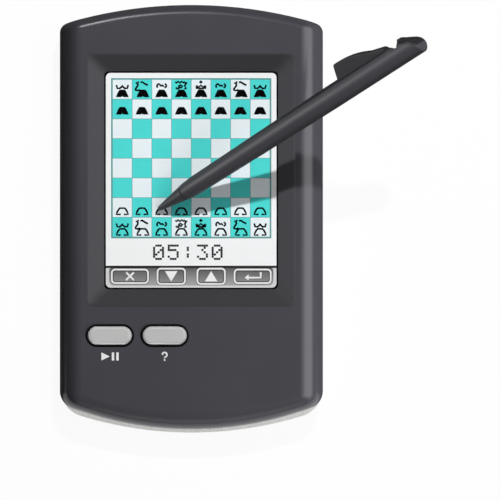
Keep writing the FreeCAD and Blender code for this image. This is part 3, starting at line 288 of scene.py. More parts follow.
# The cap: pale grey with a soft shine.
grey_button_finish = moulded_plastic("grey_abs_painted_shade_skirt", "#BEBEBE", "#C2C2C1", 0.3, 0.015 * MM)
place = add_node(grey_button_finish, "ShaderNodeTexCoord").outputs["Object"]
height = add_node(grey_button_finish, "ShaderNodeSeparateXYZ", inputs={"Vector": place})
skirt_painted_shade = add_node(grey_button_finish, "ShaderNodeMapRange", inputs={
    "Value": height.outputs["Z"], "From Min": face_z - CAP_DEPTH,
    "From Max": face_z - CAP_DEPTH - SHADE_EDGE})
# The skirt: painted black, as shade in the gap.
add_tone(grey_button_finish, skirt_painted_shade.outputs["Result"], "#08080A")
dress(grey_button_finish, "start_button", "help_button")

# %% [markdown]
# ## Silver paint
# The rear shell and its door are ABS sprayed with silver paint: aluminium flakes in lacquer.
# Each flake is a tiny mirror at its own tilt, so the paint sparkles finely and looks a little
# like metal. A texture of small cells stands for the flakes.

# %% Silver paint
# Real flakes are about 0.03 mm wide; these are coarser, so that they show.
FLAKE_SIZE = 0.4 * MM

silver_paint, paint_shader = new_finish("silver_flake_paint", Metallic=0.2)
place = add_node(silver_paint, "ShaderNodeTexCoord").outputs["Object"]
flakes = add_node(silver_paint, "ShaderNodeTexVoronoi", inputs={
    "Vector": place, "Scale": 1 / FLAKE_SIZE})
tilt = add_node(silver_paint, "ShaderNodeSeparateColor", inputs={
    "Color": flakes.outputs["Color"]})
tones = add_node(silver_paint, "ShaderNodeMix", {"data_type": "RGBA"}, {
    "Factor": tilt.outputs["Red"], COLOUR_A: colour("#CFCECC"), COLOUR_B: colour("#E2E1DE")})
link(silver_paint, tones.outputs[MIXED_COLOUR], paint_shader, "Base Color")
gloss = add_node(silver_paint, "ShaderNodeMapRange", inputs={
    "Value": tilt.outputs["Green"], "To Min": 0.32, "To Max": 0.46})
link(silver_paint, gloss.outputs["Result"], paint_shader, "Roughness")
dress(silver_paint, "rear_shell", "battery_door")

# %% [markdown]
# ## Rubber and metal
# The gasket and the domes under the buttons are silicone rubber, dull and a little dusty. The
# screws, springs and contacts are plated steel with fine drawn lines. Most of them are out of
# sight inside the case, but each still gets the look of what it is.

# %% Rubber
DUST_SIZE = 1.2 * MM


def silicone(name, tone, dusty_tone, gloss=0.5):
    """Moulded rubber: dull, with dust in patches."""
    finish, shader = new_finish(name, IOR=1.43, Specular_IOR_Level=gloss)
    place = add_node(finish, "ShaderNodeTexCoord").outputs["Object"]
    dust = add_node(finish, "ShaderNodeTexNoise", inputs={
        "Vector": place, "Scale": 1 / DUST_SIZE, "Detail": 4.0})
    tones = add_node(finish, "ShaderNodeMix", {"data_type": "RGBA"}, {
        "Factor": dust.outputs["Fac"], COLOUR_A: colour(tone), COLOUR_B: colour(dusty_tone)})
    link(finish, tones.outputs[MIXED_COLOUR], shader, "Base Color")
    matt = add_node(finish, "ShaderNodeMapRange", inputs={
        "Value": dust.outputs["Fac"], "To Min": 0.6, "To Max": 0.8})
    link(finish, matt.outputs["Result"], shader, "Roughness")
    return finish


# The gasket: a deep black line around the display.
dress(silicone("black_moulded_silicone", "#030304", "#060607", gloss=0.1), "screen_gasket")
# The domes: milky, as unfilled silicone is.
dress(silicone("milky_moulded_silicone", "#C9C8BE", "#D3D2CA"), "start_dome", "help_dome")
# The contact pills: black all through, from the carbon that makes them conduct.
dress(silicone("carbon_filled_silicone", "#0C0C0C", "#161616"), "start_pill", "help_pill")

# %% Metal
LINE_SIZE = 0.25 * MM
LINE_STRETCH = 12
LINE_GLOSS = 0.08


def plated_metal(name, tone, pale_tone, roughness):
    """Drawn and plated metal: fine lines along X that differ in tone and gloss."""
    finish, shader = new_finish(name, Metallic=1.0)
    place = add_node(finish, "ShaderNodeTexCoord").outputs["Object"]
    drawn = add_node(finish, "ShaderNodeMapping", inputs={
        "Vector": place, "Scale": (1 / LINE_STRETCH, 1, 1)})
    lines = add_node(finish, "ShaderNodeTexNoise", inputs={
        "Vector": drawn.outputs["Vector"], "Scale": 1 / LINE_SIZE, "Detail": 2.0})
    tones = add_node(finish, "ShaderNodeMix", {"data_type": "RGBA"}, {
        "Factor": lines.outputs["Fac"], COLOUR_A: colour(tone), COLOUR_B: colour(pale_tone)})
    link(finish, tones.outputs[MIXED_COLOUR], shader, "Base Color")
    gloss = add_node(finish, "ShaderNodeMapRange", inputs={
        "Value": lines.outputs["Fac"], "To Min": roughness - LINE_GLOSS,
        "To Max": roughness + LINE_GLOSS})
    link(finish, gloss.outputs["Result"], shader, "Roughness")
    return finish


# Screws: a cool grey with a soft glint.
dress(plated_metal("zinc_plated_steel", "#9FA0A3", "#B9BABD", 0.32),
      "case_screws", "board_screws")
# Contacts and the crystal's can: warmer and brighter.
dress(plated_metal("nickel_plated_steel", "#B5B0A6", "#C9C4B9", 0.22),
      "battery_terminals", "battery_bridge", "battery_springs", "crystal")
# Capacitors: pale cans with a silky sheen.
dress(plated_metal("drawn_aluminium", "#B4B6BA", "#C6C8CC", 0.3), "capacitors")
# The reflector: a soft mirror that hands the room's light back through the display.
dress(plated_metal("silvered_film", "#C9CACC", "#D6D7D9", 0.4), "lcd_reflector")

# %% [markdown]
# ## Circuit board, ribbons and cells
# The board is glass-fibre laminate under a green lacquer, with copper tracks as paler lines.
# The ribbons are amber film with conductors side by side. Each cell is a steel can in a printed
# sleeve: bare metal at both ends, and a pale band that marks the positive end.

# %% Circuit board and resin
# The tracks are in millimetres, because their pattern is scaled to them as a whole.
TRACK_SPACING = 0.4
TRACK_LENGTH = 4.8
TRACK_WIDTH = 0.192
RESIN_RIPPLE = 2.5 * MM

# The lacquer: glossy deep green, and paler where copper lies under it.
laminate, laminate_shader = new_finish("green_lacquered_laminate", Roughness=0.35, IOR=1.55)
place = add_node(laminate, "ShaderNodeTexCoord").outputs["Object"]
tracks = add_node(laminate, "ShaderNodeTexBrick", {"offset": 0.5}, {
    "Vector": place, "Scale": 1 / MM, "Row Height": TRACK_SPACING, "Brick Width": TRACK_LENGTH,
    "Mortar Size": TRACK_WIDTH / 2,
    "Color1": colour("#174A2A"), "Color2": colour("#1B5230"), "Mortar": colour("#3B8550")})
link(laminate, tracks.outputs["Color"], laminate_shader, "Base Color")
dress(laminate, "main_board")

# The blob over the processor: poured resin, black, wet-looking and slightly wavy.
resin, resin_shader = new_finish("black_poured_epoxy", Roughness=0.18, IOR=1.56)
place = add_node(resin, "ShaderNodeTexCoord").outputs["Object"]
ripple = add_node(resin, "ShaderNodeTexNoise", inputs={"Vector": place, "Scale": 1 / RESIN_RIPPLE})
tones = add_node(resin, "ShaderNodeMix", {"data_type": "RGBA"}, {
    "Factor": ripple.outputs["Fac"], COLOUR_A: colour("#0B0B0D"), COLOUR_B: colour("#131316")})
link(resin, tones.outputs[MIXED_COLOUR], resin_shader, "Base Color")
dress(resin, "processor")

# %% Ribbons
CONDUCTOR_SPACING = 1.974 * MM
# Blender's wave texture runs through this angle, in radians, per unit.
WAVE_ANGLE = 20

# The film: clear amber, with the conductors as paler stripes in it.
amber_film, film_shader = new_finish("amber_polyimide_film", Roughness=0.3, IOR=1.6)
place = add_node(amber_film, "ShaderNodeTexCoord").outputs["Object"]
conductors = add_node(amber_film, "ShaderNodeTexWave", inputs={
    "Vector": place, "Scale": math.tau / (WAVE_ANGLE * CONDUCTOR_SPACING)})
tones = add_node(amber_film, "ShaderNodeMix", {"data_type": "RGBA"}, {
    "Factor": conductors.outputs["Fac"], COLOUR_A: colour("#9A5B1C"), COLOUR_B: colour("#C98A3C")})
link(amber_film, tones.outputs[MIXED_COLOUR], film_shader, "Base Color")
dress(amber_film, "lcd_ribbon", "touch_ribbon")

# %% Cells
CELL_END = 1.2 * MM
CELL_CAP = 2.4 * MM
CELL_BAND = 9 * MM


def cell_sleeve(node, positive):
    """A printed sleeve along X whose band and bare cap are on the positive side, +1 or -1."""
    low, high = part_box(node)
    length = high.x - low.x
    start, end = (low.x, high.x) if positive > 0 else (high.x, low.x)
    finish, shader = new_finish(node + "_printed_sleeve", Roughness=0.3)
    place = add_node(finish, "ShaderNodeTexCoord").outputs["Object"]
    along = add_node(finish, "ShaderNodeSeparateXYZ", inputs={"Vector": place})
    share = add_node(finish, "ShaderNodeMapRange", inputs={
        "Value": along.outputs["X"], "From Min": start, "From Max": end}).outputs["Result"]
    edges = (0, CELL_END / length, 1 - CELL_BAND / length, 1 - CELL_CAP / length)
    # Each socket has a tone for the bare end, the sleeve, its band and the cap; white is metal.
    looks = {"Base Color": ("#B9B7B0", "#3A4A57", "#D9D7CF", "#B9B7B0"),
             "Metallic": ("#FFFFFF", "#000000", "#000000", "#FFFFFF")}
    for socket, codes in looks.items():
        bands = add_node(finish, "ShaderNodeValToRGB", inputs={"Fac": share})
        ramp = bands.color_ramp
        ramp.interpolation = "CONSTANT"
        # A new ramp has stops at 0 and 1; the one at 1 takes the last edge's place.
        ramp.elements[1].position = edges[-1]
        for edge in edges[1:-1]:
            ramp.elements.new(edge)
        for stop, code in zip(ramp.elements, codes):
            stop.color = colour(code)
        link(finish, bands.outputs["Color"], shader, socket)
    return finish


# The sleeves: slate blue and smooth, with bright steel at the ends.
dress(cell_sleeve("battery_cell_upper", 1), "battery_cell_upper")
dress(cell_sleeve("battery_cell_lower", -1), "battery_cell_lower")

# %% [markdown]
# ## Clear panel and display
# The touch panel is clear plastic over the whole display. Light on its way to the display would
# need a long search through a true glass shader, so lamps and bounced light pass it as if it
# weren't there, while the eye still sees its reflections. The display below is a reflective
# liquid crystal: a dull white polarising film. It lies close under the panel and has no glare
# of its own, so its finish and its dyes reflect nothing but their colour.

# %% Clear panel
SMUDGE_SIZE = 14 * MM

# The panel: all but unseen from above, with a sharp glint that finger marks soften in places.
panel, panel_shader = new_finish("clear_cast_acrylic", Base_Color=colour("#FFFFFF"),
                                 Transmission_Weight=1.0, IOR=1.49)
place = add_node(panel, "ShaderNodeTexCoord").outputs["Object"]
smudges = add_node(panel, "ShaderNodeTexNoise", inputs={
    "Vector": place, "Scale": 1 / SMUDGE_SIZE, "Detail": 5.0})
gloss = add_node(panel, "ShaderNodeMapRange", inputs={
    "Value": smudges.outputs["Fac"], "To Min": 0.02, "To Max": 0.06})
link(panel, gloss.outputs["Result"], panel_shader, "Roughness")
rays = add_node(panel, "ShaderNodeLightPath")
passing = add_node(panel, "ShaderNodeMath", {"operation": "MAXIMUM"}, {
    0: rays.outputs["Is Shadow Ray"], 1: rays.outputs["Is Diffuse Ray"]})
open_air = add_node(panel, "ShaderNodeBsdfTransparent")
pane = add_node(panel, "ShaderNodeMixShader", inputs={
    0: passing.outputs["Value"], 1: panel_shader.outputs["BSDF"], 2: open_air.outputs["BSDF"]})
link(panel, pane.outputs["Shader"], panel.node_tree.nodes["Material Output"], "Surface")
dress(panel, "touch_panel")

# %% Printed and polarising films
SPECK_SIZE = 0.6 * MM


def film_ink(name, tone, pale_tone, gloss=0.0):
    """A thin film of ink or dye whose tone and roughness differ a little from spot to spot."""
    finish, shader = new_finish(name, Specular_IOR_Level=gloss)
    place = add_node(finish, "ShaderNodeTexCoord").outputs["Object"]
    specks = add_node(finish, "ShaderNodeTexNoise", inputs={
        "Vector": place, "Scale": 1 / SPECK_SIZE, "Detail": 3.0})
    tones = add_node(finish, "ShaderNodeMix", {"data_type": "RGBA"}, {
        "Factor": specks.outputs["Fac"], COLOUR_A: colour(tone), COLOUR_B: colour(pale_tone)})
    link(finish, tones.outputs[MIXED_COLOUR], shader, "Base Color")
    matt = add_node(finish, "ShaderNodeMapRange", inputs={
        "Value": specks.outputs["Fac"], "To Min": 0.5, "To Max": 0.65})
    link(finish, matt.outputs["Result"], shader, "Roughness")
    return finish


# The display's ground: paper white with a breath of cyan.
dress(film_ink("white_polarising_film", "#FBFEFF", "#FFFFFF"), "lcd_glass")

# %% [markdown]
# ## Helpers for pieces
# Every print is a thin piece of its own that lies on what carries it. Its mesh is made with
# bmesh operators in millimetres, scaled to metres at the end, and rides on the case. Plates
# start as a flat outline that is extruded to the thickness of the print.

# %% Plates
INK = 0.012
CORNER_STEPS = 5


def extrude_up(shape, faces, thickness):
    """Gives flat faces a thickness along Z."""
    walls = bmesh.ops.extrude_face_region(shape, geom=faces)["geom"]
    tops = [part for part in walls if isinstance(part, bmesh.types.BMVert)]
    bmesh.ops.translate(shape, verts=tops, vec=(0, 0, thickness))


def add_outline(shape, points, z, thickness=INK):
    """Adds a plate with a flat outline of a few points."""
    corners = [shape.verts.new((x, y, z)) for x, y in points]
    extrude_up(shape, [shape.faces.new(corners)], thickness)


def add_plate(shape, middle, size, corner, z, thickness=INK):
    """Adds a rectangular plate with rounded corners."""
    place = Matrix.LocRotScale(Vector((*middle, z)), None, Vector((*size, 1)))
    corners = bmesh.ops.create_grid(shape, x_segments=1, y_segments=1, size=0.5, matrix=place)
    faces = list({face for vert in corners["verts"] for face in vert.link_faces})
    if corner:
        rounded = bmesh.ops.bevel(shape, geom=corners["verts"], offset=corner,
                                  offset_type="OFFSET", segments=CORNER_STEPS, profile=0.5,
                                  affect="VERTICES", material=-1)
        faces = list({face for vert in rounded["verts"] for face in vert.link_faces})
    extrude_up(shape, faces, thickness)


# %% Finished pieces
def add_piece(name, shape, finish, body="case"):
    """Makes an object of a shape in millimetres, with its finish, and lets it ride on a body."""
    bmesh.ops.scale(shape, verts=shape.verts, vec=(MM, MM, MM))
    bmesh.ops.recalc_face_normals(shape, faces=shape.faces)
    mesh = bpy.data.meshes.new(name)
    shape.to_mesh(mesh)
    shape.free()
    mesh.materials.append(finish)
    piece = bpy.data.objects.new(name, mesh)
    scene.collection.objects.link(piece)
    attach(piece, body)
    print(name, len(mesh.polygons), "faces")


# %% [markdown]
# ## Board on the display
# The display shows a chess board of pale and teal squares with thin lines between them and
# around them. One plate in the colour of the lines lies on the glass, and 64 square tiles lie
# on it, a line's width apart.

# %% Board
SQUARES = 8
SQUARE = 6.12
GRID_LINE = 0.17
FRAME_LINE = 0.42
BOARD_DROP = 5.5

glass_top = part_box("lcd_glass")[1].z / MM
panel_low, panel_high = [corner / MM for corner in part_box("touch_panel")]
board_top = panel_high.y - BOARD_DROP
board_left = (panel_low.x + panel_high.x - SQUARES * SQUARE) / 2
board_bottom = board_top - SQUARES * SQUARE
board_side = SQUARES * SQUARE + 2 * FRAME_LINE

grid = bmesh.new()
add_plate(grid, (board_left + SQUARES * SQUARE / 2, (board_top + board_bottom) / 2),
          (board_side, board_side), 0, glass_top)
# Lines: a muted teal that only just parts the squares.
add_piece("board_lines", grid, film_ink("muted_teal_dye", "#5F9D9B", "#69A7A5"))

# %% Squares
tiles = {"white": bmesh.new(), "teal": bmesh.new()}
for row in range(SQUARES):
    for column in range(SQUARES):
        shade = "teal" if (row + column) % 2 else "white"
        middle = (board_left + (column + 0.5) * SQUARE, board_top - (row + 0.5) * SQUARE)
        add_plate(tiles[shade], middle, (SQUARE - GRID_LINE, SQUARE - GRID_LINE), 0,
                  glass_top + INK)
# Squares: a cool white, and a clear bright teal.
add_piece("white_squares", tiles["white"], film_ink("pale_display_dye", "#EEFAFF", "#F4FCFF"))
add_piece("teal_squares", tiles["teal"], film_ink("teal_display_dye", "#4FDFD9", "#57E5E0"))
tile_top = glass_top + 2 * INK

# %% [markdown]
# ## Chess figures
# A pawn is only a base. The other figures have a few strokes above theirs, and the king some solid
# marks too, all drawn here on a grid of 20 steps to the square. Dark figures have a solid base and
# light ones an outlined base. Strokes are curves with a round section, made a mesh and pressed
# flat, which gives them the soft edges of a printed line.

# %% Figure drawings
STEP = SQUARE / 20
STROKE = 0.6

SOLID_BASE = [(3.5, 2), (4.6, 5), (6, 7.9), (7.4, 9.7), (12.6, 9.7), (14, 7.9), (15.4, 5),
              (16.5, 2), (11.4, 2), (10, 2.9), (8.6, 2)]
OUTLINED_BASE = [(8.4, 2.6), (4.1, 2.6), (4.9, 5), (6.2, 7.4), (7.6, 8.9), (12.4, 8.9),
                 (13.8, 7.4), (15.1, 5), (15.9, 2.6), (11.6, 2.6)]
STROKES = {
    "rook": [[(4, 14.4), (4.9, 11.1), (7.4, 10.9), (9.2, 12.4), (10, 13.9), (10.8, 12.4),
              (12.6, 10.9), (15.1, 11.1), (16, 14.4)]],
    "knight": [[(3.8, 16.8), (5.2, 15.9), (6.6, 17.9)],
               [(5.6, 15.9), (5.9, 14.2), (5, 12.5), (3.4, 10.4), (3.6, 9.1), (5.6, 8.8),
                (8, 9.5)],
               [(8.4, 17), (10.3, 17.4), (13, 15.6), (16, 14.1)]],
    "bishop": [[(5.7, 11.6), (5.2, 13.8), (6.3, 15.5), (7.9, 15), (9, 13.5), (10.8, 14.1),
                (12, 12.6)],
               [(13.3, 15.8), (14.7, 14.2), (14.5, 12.6), (12.9, 11.6)]],
    "queen": [[(3.8, 17.4), (5.3, 16.5), (6.8, 17.9), (8.6, 16.5), (10.4, 18), (12, 16.7),
               (13.3, 17.4), (14.4, 16.2), (16, 16.7)],
              [(14.4, 15.8), (13.4, 13.5), (14.9, 10.8), (12.8, 10.6)],
              [(4.5, 12), (5.5, 10.6), (8, 10.8)],
              [(6.8, 13), (9.2, 14.3), (11.2, 13.2), (9.8, 11.7), (8, 11.9), (6.8, 13)]],
    "king": [[(5.2, 13.8), (7.4, 12.1), (9.9, 14.1), (12.4, 12.1), (14.6, 13.8)],
             [(7.2, 10.9), (12.6, 10.9)]],
}
SOLIDS = {
    "king": [[(9.8, 15.5), (11.9, 17.4), (9.8, 19.3), (7.7, 17.4)],
             [(4.3, 13.9), (4.7, 10.3), (7.5, 10.3), (6.6, 12.6)],
             [(15.5, 13.9), (15.1, 10.3), (12.3, 10.3), (13.2, 12.6)]],
}
# The knight's base stands to the right of the middle, under its neck.
KNIGHT_SHIFT = 0.9
BACK_ROW = ["rook", "knight", "bishop", "queen", "king", "bishop", "knight", "rook"]
print("figures:", ", ".join(sorted(set(BACK_ROW))), "and pawn")


# %% Strokes
def add_strokes(shape, lines, width, z, thickness=INK):
    """Adds lines of points as flat strokes with round edges."""
    curve = bpy.data.curves.new("strokes", "CURVE")
    curve.dimensions = "3D"
    curve.bevel_depth = width / 2
    curve.bevel_resolution = 2
    curve.use_fill_caps = True
    for line in lines:
        spline = curve.splines.new("POLY")
        spline.points.add(len(line) - 1)
        for point, (x, y) in zip(spline.points, line):
            point.co = (x, y, 0, 1)
    drawing = bpy.data.objects.new("strokes", curve)
    mesh = bpy.data.meshes.new_from_object(drawing)
    old = set(shape.verts)
    shape.from_mesh(mesh)
    strokes = [vert for vert in shape.verts if vert not in old]
    bmesh.ops.scale(shape, verts=strokes, vec=(1, 1, thickness / width))
    bmesh.ops.translate(shape, verts=strokes, vec=(0, 0, z + thickness / 2))
    bpy.data.objects.remove(drawing)
    bpy.data.curves.remove(curve)
    bpy.data.meshes.remove(mesh)


def on_square(points, column, row, lift, shift=0):
    """Points of a drawing in steps as points of the display, on the square's own place."""
    left = board_left + column * SQUARE
    bottom = board_top - (row + 1) * SQUARE
    return [(left + (x + shift) * STEP, bottom + (y + lift) * STEP) for x, y in points]


# %% Figures
# Each row of figures, and by how many steps its drawings are lifted on their squares.
PAWN_ROWS = {1: 2.4, 6: 0.4}
BACK_ROWS = {0: 0, 7: -0.6}

figures = bmesh.new()
lines = []
for column, kind in enumerate(BACK_ROW):
    back_shift = KNIGHT_SHIFT if kind == "knight" else 0
    bases = [(row, lift, 0) for row, lift in PAWN_ROWS.items()]
    bases += [(row, lift, back_shift) for row, lift in BACK_ROWS.items()]
    for row, lift, shift in bases:
        if row < SQUARES / 2:
            add_outline(figures, on_square(SOLID_BASE, column, row, lift, shift), tile_top)
        else:
            lines.append(on_square(OUTLINED_BASE, column, row, lift, shift))
    for row, lift in BACK_ROWS.items():
        lines += [on_square(stroke, column, row, lift) for stroke in STROKES[kind]]
        for solid in SOLIDS.get(kind, []):
            add_outline(figures, on_square(solid, column, row, lift), tile_top)
add_strokes(figures, lines, STROKE, tile_top)
# Figures: nearly black, as a switched-on crystal is.
display_black = film_ink("dark_display_dye", "#020203", "#060607")
add_piece("chess_figures", figures, display_black)

# %% [markdown]
# ## Text line of the display
# Under the board the display has a row of five characters, each 5 by 7 dots. Here it shows a
# clock. A dot is one square tile, and each digit is written as seven rows of marks.

# %% Clock
DOT_PITCH = 0.69
DOT = 0.65
CHARACTER_PITCH = 4.55
CLOCK_INSET = 12.95
CLOCK_DROP = 2.68
CLOCK = "05:30"
DOTS = {
    "0": [".###.", "#...#", "#..##", "#.#.#", "##..#", "#...#", ".###."],
    "3": ["#####", "...#.", "..#..", "...#.", "....#", "#...#", ".###."],
    "5": ["#####", "#....", "####.", "....#", "....#", "#...#", ".###."],
    ":": [".....", "..#..", "..#..", ".....", "..#..", "..#..", "....."],
}

clock = bmesh.new()
for place_in_line, character in enumerate(CLOCK):
    left = board_left + CLOCK_INSET + place_in_line * CHARACTER_PITCH
    for row, marks in enumerate(DOTS[character]):
        for column, mark in enumerate(marks):
            if mark == "#":
                middle = (left + column * DOT_PITCH, board_bottom - CLOCK_DROP - row * DOT_PITCH)
                add_plate(clock, middle, (DOT, DOT), 0, glass_top)
add_piece("clock_digits", clock, display_black)

# %% [markdown]
# ## Touch keys
# Below the display glass lies a printed film with four keys: cancel, down, up and enter. It is
# pale at its edges, and its ground and its keys shade from dark to light like pressed metal.
# The keys are printed in layers, and every layer is a thin plate on the one below it: a dark
# edge, a white ring, a dark line, a grey field and a white sign.

# %% Shaded print
film_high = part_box("key_film")[1] / MM
film_top = film_high.z


def shaded_print(name, top_tone, bottom_tone, top, bottom):
    """A metallic ink that shades along Y from one height of the film, in mm, to another."""
    finish, shader = new_finish(name, Specular_IOR_Level=0.0)
    place = add_node(finish, "ShaderNodeTexCoord").outputs["Object"]
    down = add_node(finish, "ShaderNodeSeparateXYZ", inputs={"Vector": place})
    shading = add_node(finish, "ShaderNodeMapRange", inputs={
        "Value": down.outputs["Y"], "From Min": top * MM, "From Max": bottom * MM})
    tones = add_node(finish, "ShaderNodeMix", {"data_type": "RGBA"}, {
        "Factor": shading.outputs["Result"],
        COLOUR_A: colour(top_tone), COLOUR_B: colour(bottom_tone)})
    link(finish, tones.outputs[MIXED_COLOUR], shader, "Base Color")
    specks = add_node(finish, "ShaderNodeTexNoise", inputs={
        "Vector": place, "Scale": 1 / SPECK_SIZE, "Detail": 3.0})
    matt = add_node(finish, "ShaderNodeMapRange", inputs={
        "Value": specks.outputs["Fac"], "To Min": 0.4, "To Max": 0.55})
    link(finish, matt.outputs["Result"], shader, "Roughness")
    return finish


# The film's bare edge: a pale grey line along the gasket.
dress(film_ink("pale_grey_print", "#DADADB", "#E2E2E3"), "key_film")

# %% Ground of the keys
GROUND_WIDTH = 51.1
GROUND_HEIGHT = 5.45
GROUND_CORNER = 1.4
TOP_LINE = 0.4

ground_top = film_high.y - TOP_LINE
ground_bottom = ground_top - GROUND_HEIGHT
ground = bmesh.new()
# It reaches up under the dark line along the film's upper edge.
add_plate(ground, (0, (film_high.y + ground_bottom) / 2),
          (GROUND_WIDTH, film_high.y - ground_bottom), GROUND_CORNER, film_top)
# Ground: grey like pressed metal, dark at the top and light at the bottom.
add_piece("key_ground", ground, shaded_print("grey_metallic_print", "#656566", "#B0B0B0",
                                             ground_top, ground_bottom))

# %% Keys
KEY_DROP = 2.97
WIDE_KEY = (11.8, 4.75)
NARROW_KEY = (9.1, 5.3)
KEY_PLACES = [(-19.05, WIDE_KEY), (-6.2, NARROW_KEY), (6.2, NARROW_KEY), (19.1, WIDE_KEY)]
KEY_CORNER = 1.3
TOP_LINE_MARGIN = 1

key_y = film_high.y - KEY_DROP
field_top = key_y + WIDE_KEY[1] / 2
field_bottom = key_y - WIDE_KEY[1] / 2
dark_ink = film_ink("dark_key_ink", "#2A2A2B", "#303031")
# Rings stand out white; the lines beside them are dark, as if the keys were pressed in.
LAYERS = [("edges", -0.16, dark_ink),
          ("rings", 0, film_ink("white_key_ink", "#F0F0F0", "#F6F6F6")),
          ("lines", 0.56, dark_ink),
          ("fields", 0.82, shaded_print("grey_field_print", "#5E5E5F", "#969697",
                                        field_top, field_bottom))]

for level, (layer, inset, ink) in enumerate(LAYERS):
    plates = bmesh.new()
    level_z = film_top + (1 + level) * INK
    for x, (width, height) in KEY_PLACES:
        add_plate(plates, (x, key_y), (width - 2 * inset, height - 2 * inset),
                  KEY_CORNER - inset, level_z)
    if layer == "edges":
        line_length = panel_high.x - panel_low.x - 2 * TOP_LINE_MARGIN
        add_plate(plates, (0, film_high.y - TOP_LINE / 2), (line_length, TOP_LINE), 0, level_z)
    add_piece("key_" + layer, plates, ink)

# %% Signs on the keys
SIGN_REACH = 1.25
SIGN_STROKE = 0.62
ARROW = (1.95, 1.6)

signs = bmesh.new()
sign_z = film_top + (1 + len(LAYERS)) * INK
cancel_x, down_x, up_x, enter_x = [x for x, size in KEY_PLACES]
cross = [[(cancel_x - SIGN_REACH, key_y - side * SIGN_REACH),
          (cancel_x + SIGN_REACH, key_y + side * SIGN_REACH)] for side in (1, -1)]
turn_back = [[(enter_x + 2 * SIGN_REACH, key_y + SIGN_REACH),
              (enter_x + 2 * SIGN_REACH, key_y - SIGN_REACH / 3),
              (enter_x - SIGN_REACH, key_y - SIGN_REACH / 3)]]
add_strokes(signs, cross + turn_back, SIGN_STROKE, sign_z)
for x, side in ((down_x, -1), (up_x, 1)):
    add_outline(signs, [(x - ARROW[0], key_y - side * ARROW[1]),
                        (x + ARROW[0], key_y - side * ARROW[1]), (x, key_y + side * ARROW[1])],
                sign_z)
head_x = enter_x - 2 * SIGN_REACH
add_outline(signs, [(head_x, key_y - SIGN_REACH / 3), (head_x + SIGN_REACH, key_y + SIGN_REACH / 2),
                    (head_x + SIGN_REACH, key_y - SIGN_REACH)], sign_z)
# Signs: the brightest print on the film.
add_piece("key_signs", signs, film_ink("white_sign_ink", "#F6F6F6", "#FBFBFB"))

# %% [markdown]
# ## Signs under the buttons
# Below each button the case carries a white pad-printed sign: start and pause under the first,
# a question mark under the second. The first is a triangle and two bars. The second is an arc
# of a circle with a short stem and a dot.

# %% Signs under the buttons
SIGN_DROP = 6.45
PLAY_HEIGHT = 2.5
PLAY_WIDTH = 2.6
BAR_PLACES = (1.0, 2.4)
BAR_WIDTH = 0.75

start_low, start_high = [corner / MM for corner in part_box("start_button")]
help_low, help_high = [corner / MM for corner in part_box("help_button")]
sign_y = (start_low.y + start_high.y) / 2 - SIGN_DROP
start_x = (start_low.x + start_high.x) / 2
face_top = face_z / MM
# Pad print: a thin white ink with the soft shine of the plastic under it.
pad_white = film_ink("white_pad_print", "#E8E8E8", "#F0F0F0", gloss=0.3)

start_sign = bmesh.new()
add_outline(start_sign, [(start_x - PLAY_WIDTH, sign_y - PLAY_HEIGHT / 2), (start_x, sign_y),
                         (start_x - PLAY_WIDTH, sign_y + PLAY_HEIGHT / 2)], face_top)
for bar_x in BAR_PLACES:
    add_plate(start_sign, (start_x + bar_x, sign_y), (BAR_WIDTH, PLAY_HEIGHT), 0, face_top)
add_piece("start_sign", start_sign, pad_white)

# %% Question mark
BOW_RADIUS = 0.75
BOW_LIFT = 0.5
BOW_ANGLES = range(180, -91, -30)
STEM_LENGTH = 0.3
DOT_DROP = 1.1
QUESTION_STROKE = 0.5

help_x = (help_low.x + help_high.x) / 2
bow_y = sign_y + BOW_LIFT
bow = [(help_x + BOW_RADIUS * math.cos(math.radians(angle)),
        bow_y + BOW_RADIUS * math.sin(math.radians(angle))) for angle in BOW_ANGLES]
stem = [bow[-1], (help_x, bow[-1][1] - STEM_LENGTH)]
help_sign = bmesh.new()
add_strokes(help_sign, [bow, stem], QUESTION_STROKE, face_top)
add_plate(help_sign, (help_x, sign_y - DOT_DROP), (QUESTION_STROKE, QUESTION_STROKE),
          QUESTION_STROKE / 3, face_top)
add_piece("help_sign", help_sign, pad_white)

# %% [markdown]
# ## Floor
# The part lies on a white sheet that shows as plain white, with only a faint shadow. The sheet
# glows by itself, but only to the eye, in reflections and through glass, so it throws no extra
# light on the part. It is in two pieces, cut at the front shell's bottom end, because the front
# piece is to mirror in the case's lower edge and the other isn't.

# %% Floor
FLOOR_REACH = 10
FLOOR_GAP = 0.05 * MM
GLOW_SHARE = 0.94

floor_z = cad_box[0][2] - FLOOR_GAP
cut_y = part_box("front_shell")[0].y


def add_sheet(name, low_y, high_y):
    """One piece of the floor, from one place along Y to another."""
    shape = bmesh.new()
    place = Matrix.LocRotScale(Vector((0, (low_y + high_y) / 2, floor_z)), None,
                               Vector((2 * FLOOR_REACH, high_y - low_y, 1)))
    bmesh.ops.create_grid(shape, x_segments=1, y_segments=1, size=0.5, matrix=place)
    mesh = bpy.data.meshes.new(name)
    shape.to_mesh(mesh)
    shape.free()
    sheet = bpy.data.objects.new(name, mesh)
    scene.collection.objects.link(sheet)
    return sheet


floor_front = add_sheet("floor_front", -FLOOR_REACH, cut_y)
floor_back = add_sheet("floor_back", cut_y, FLOOR_REACH)
print("floor at", round(floor_z, 6), "cut at", round(cut_y, 4))

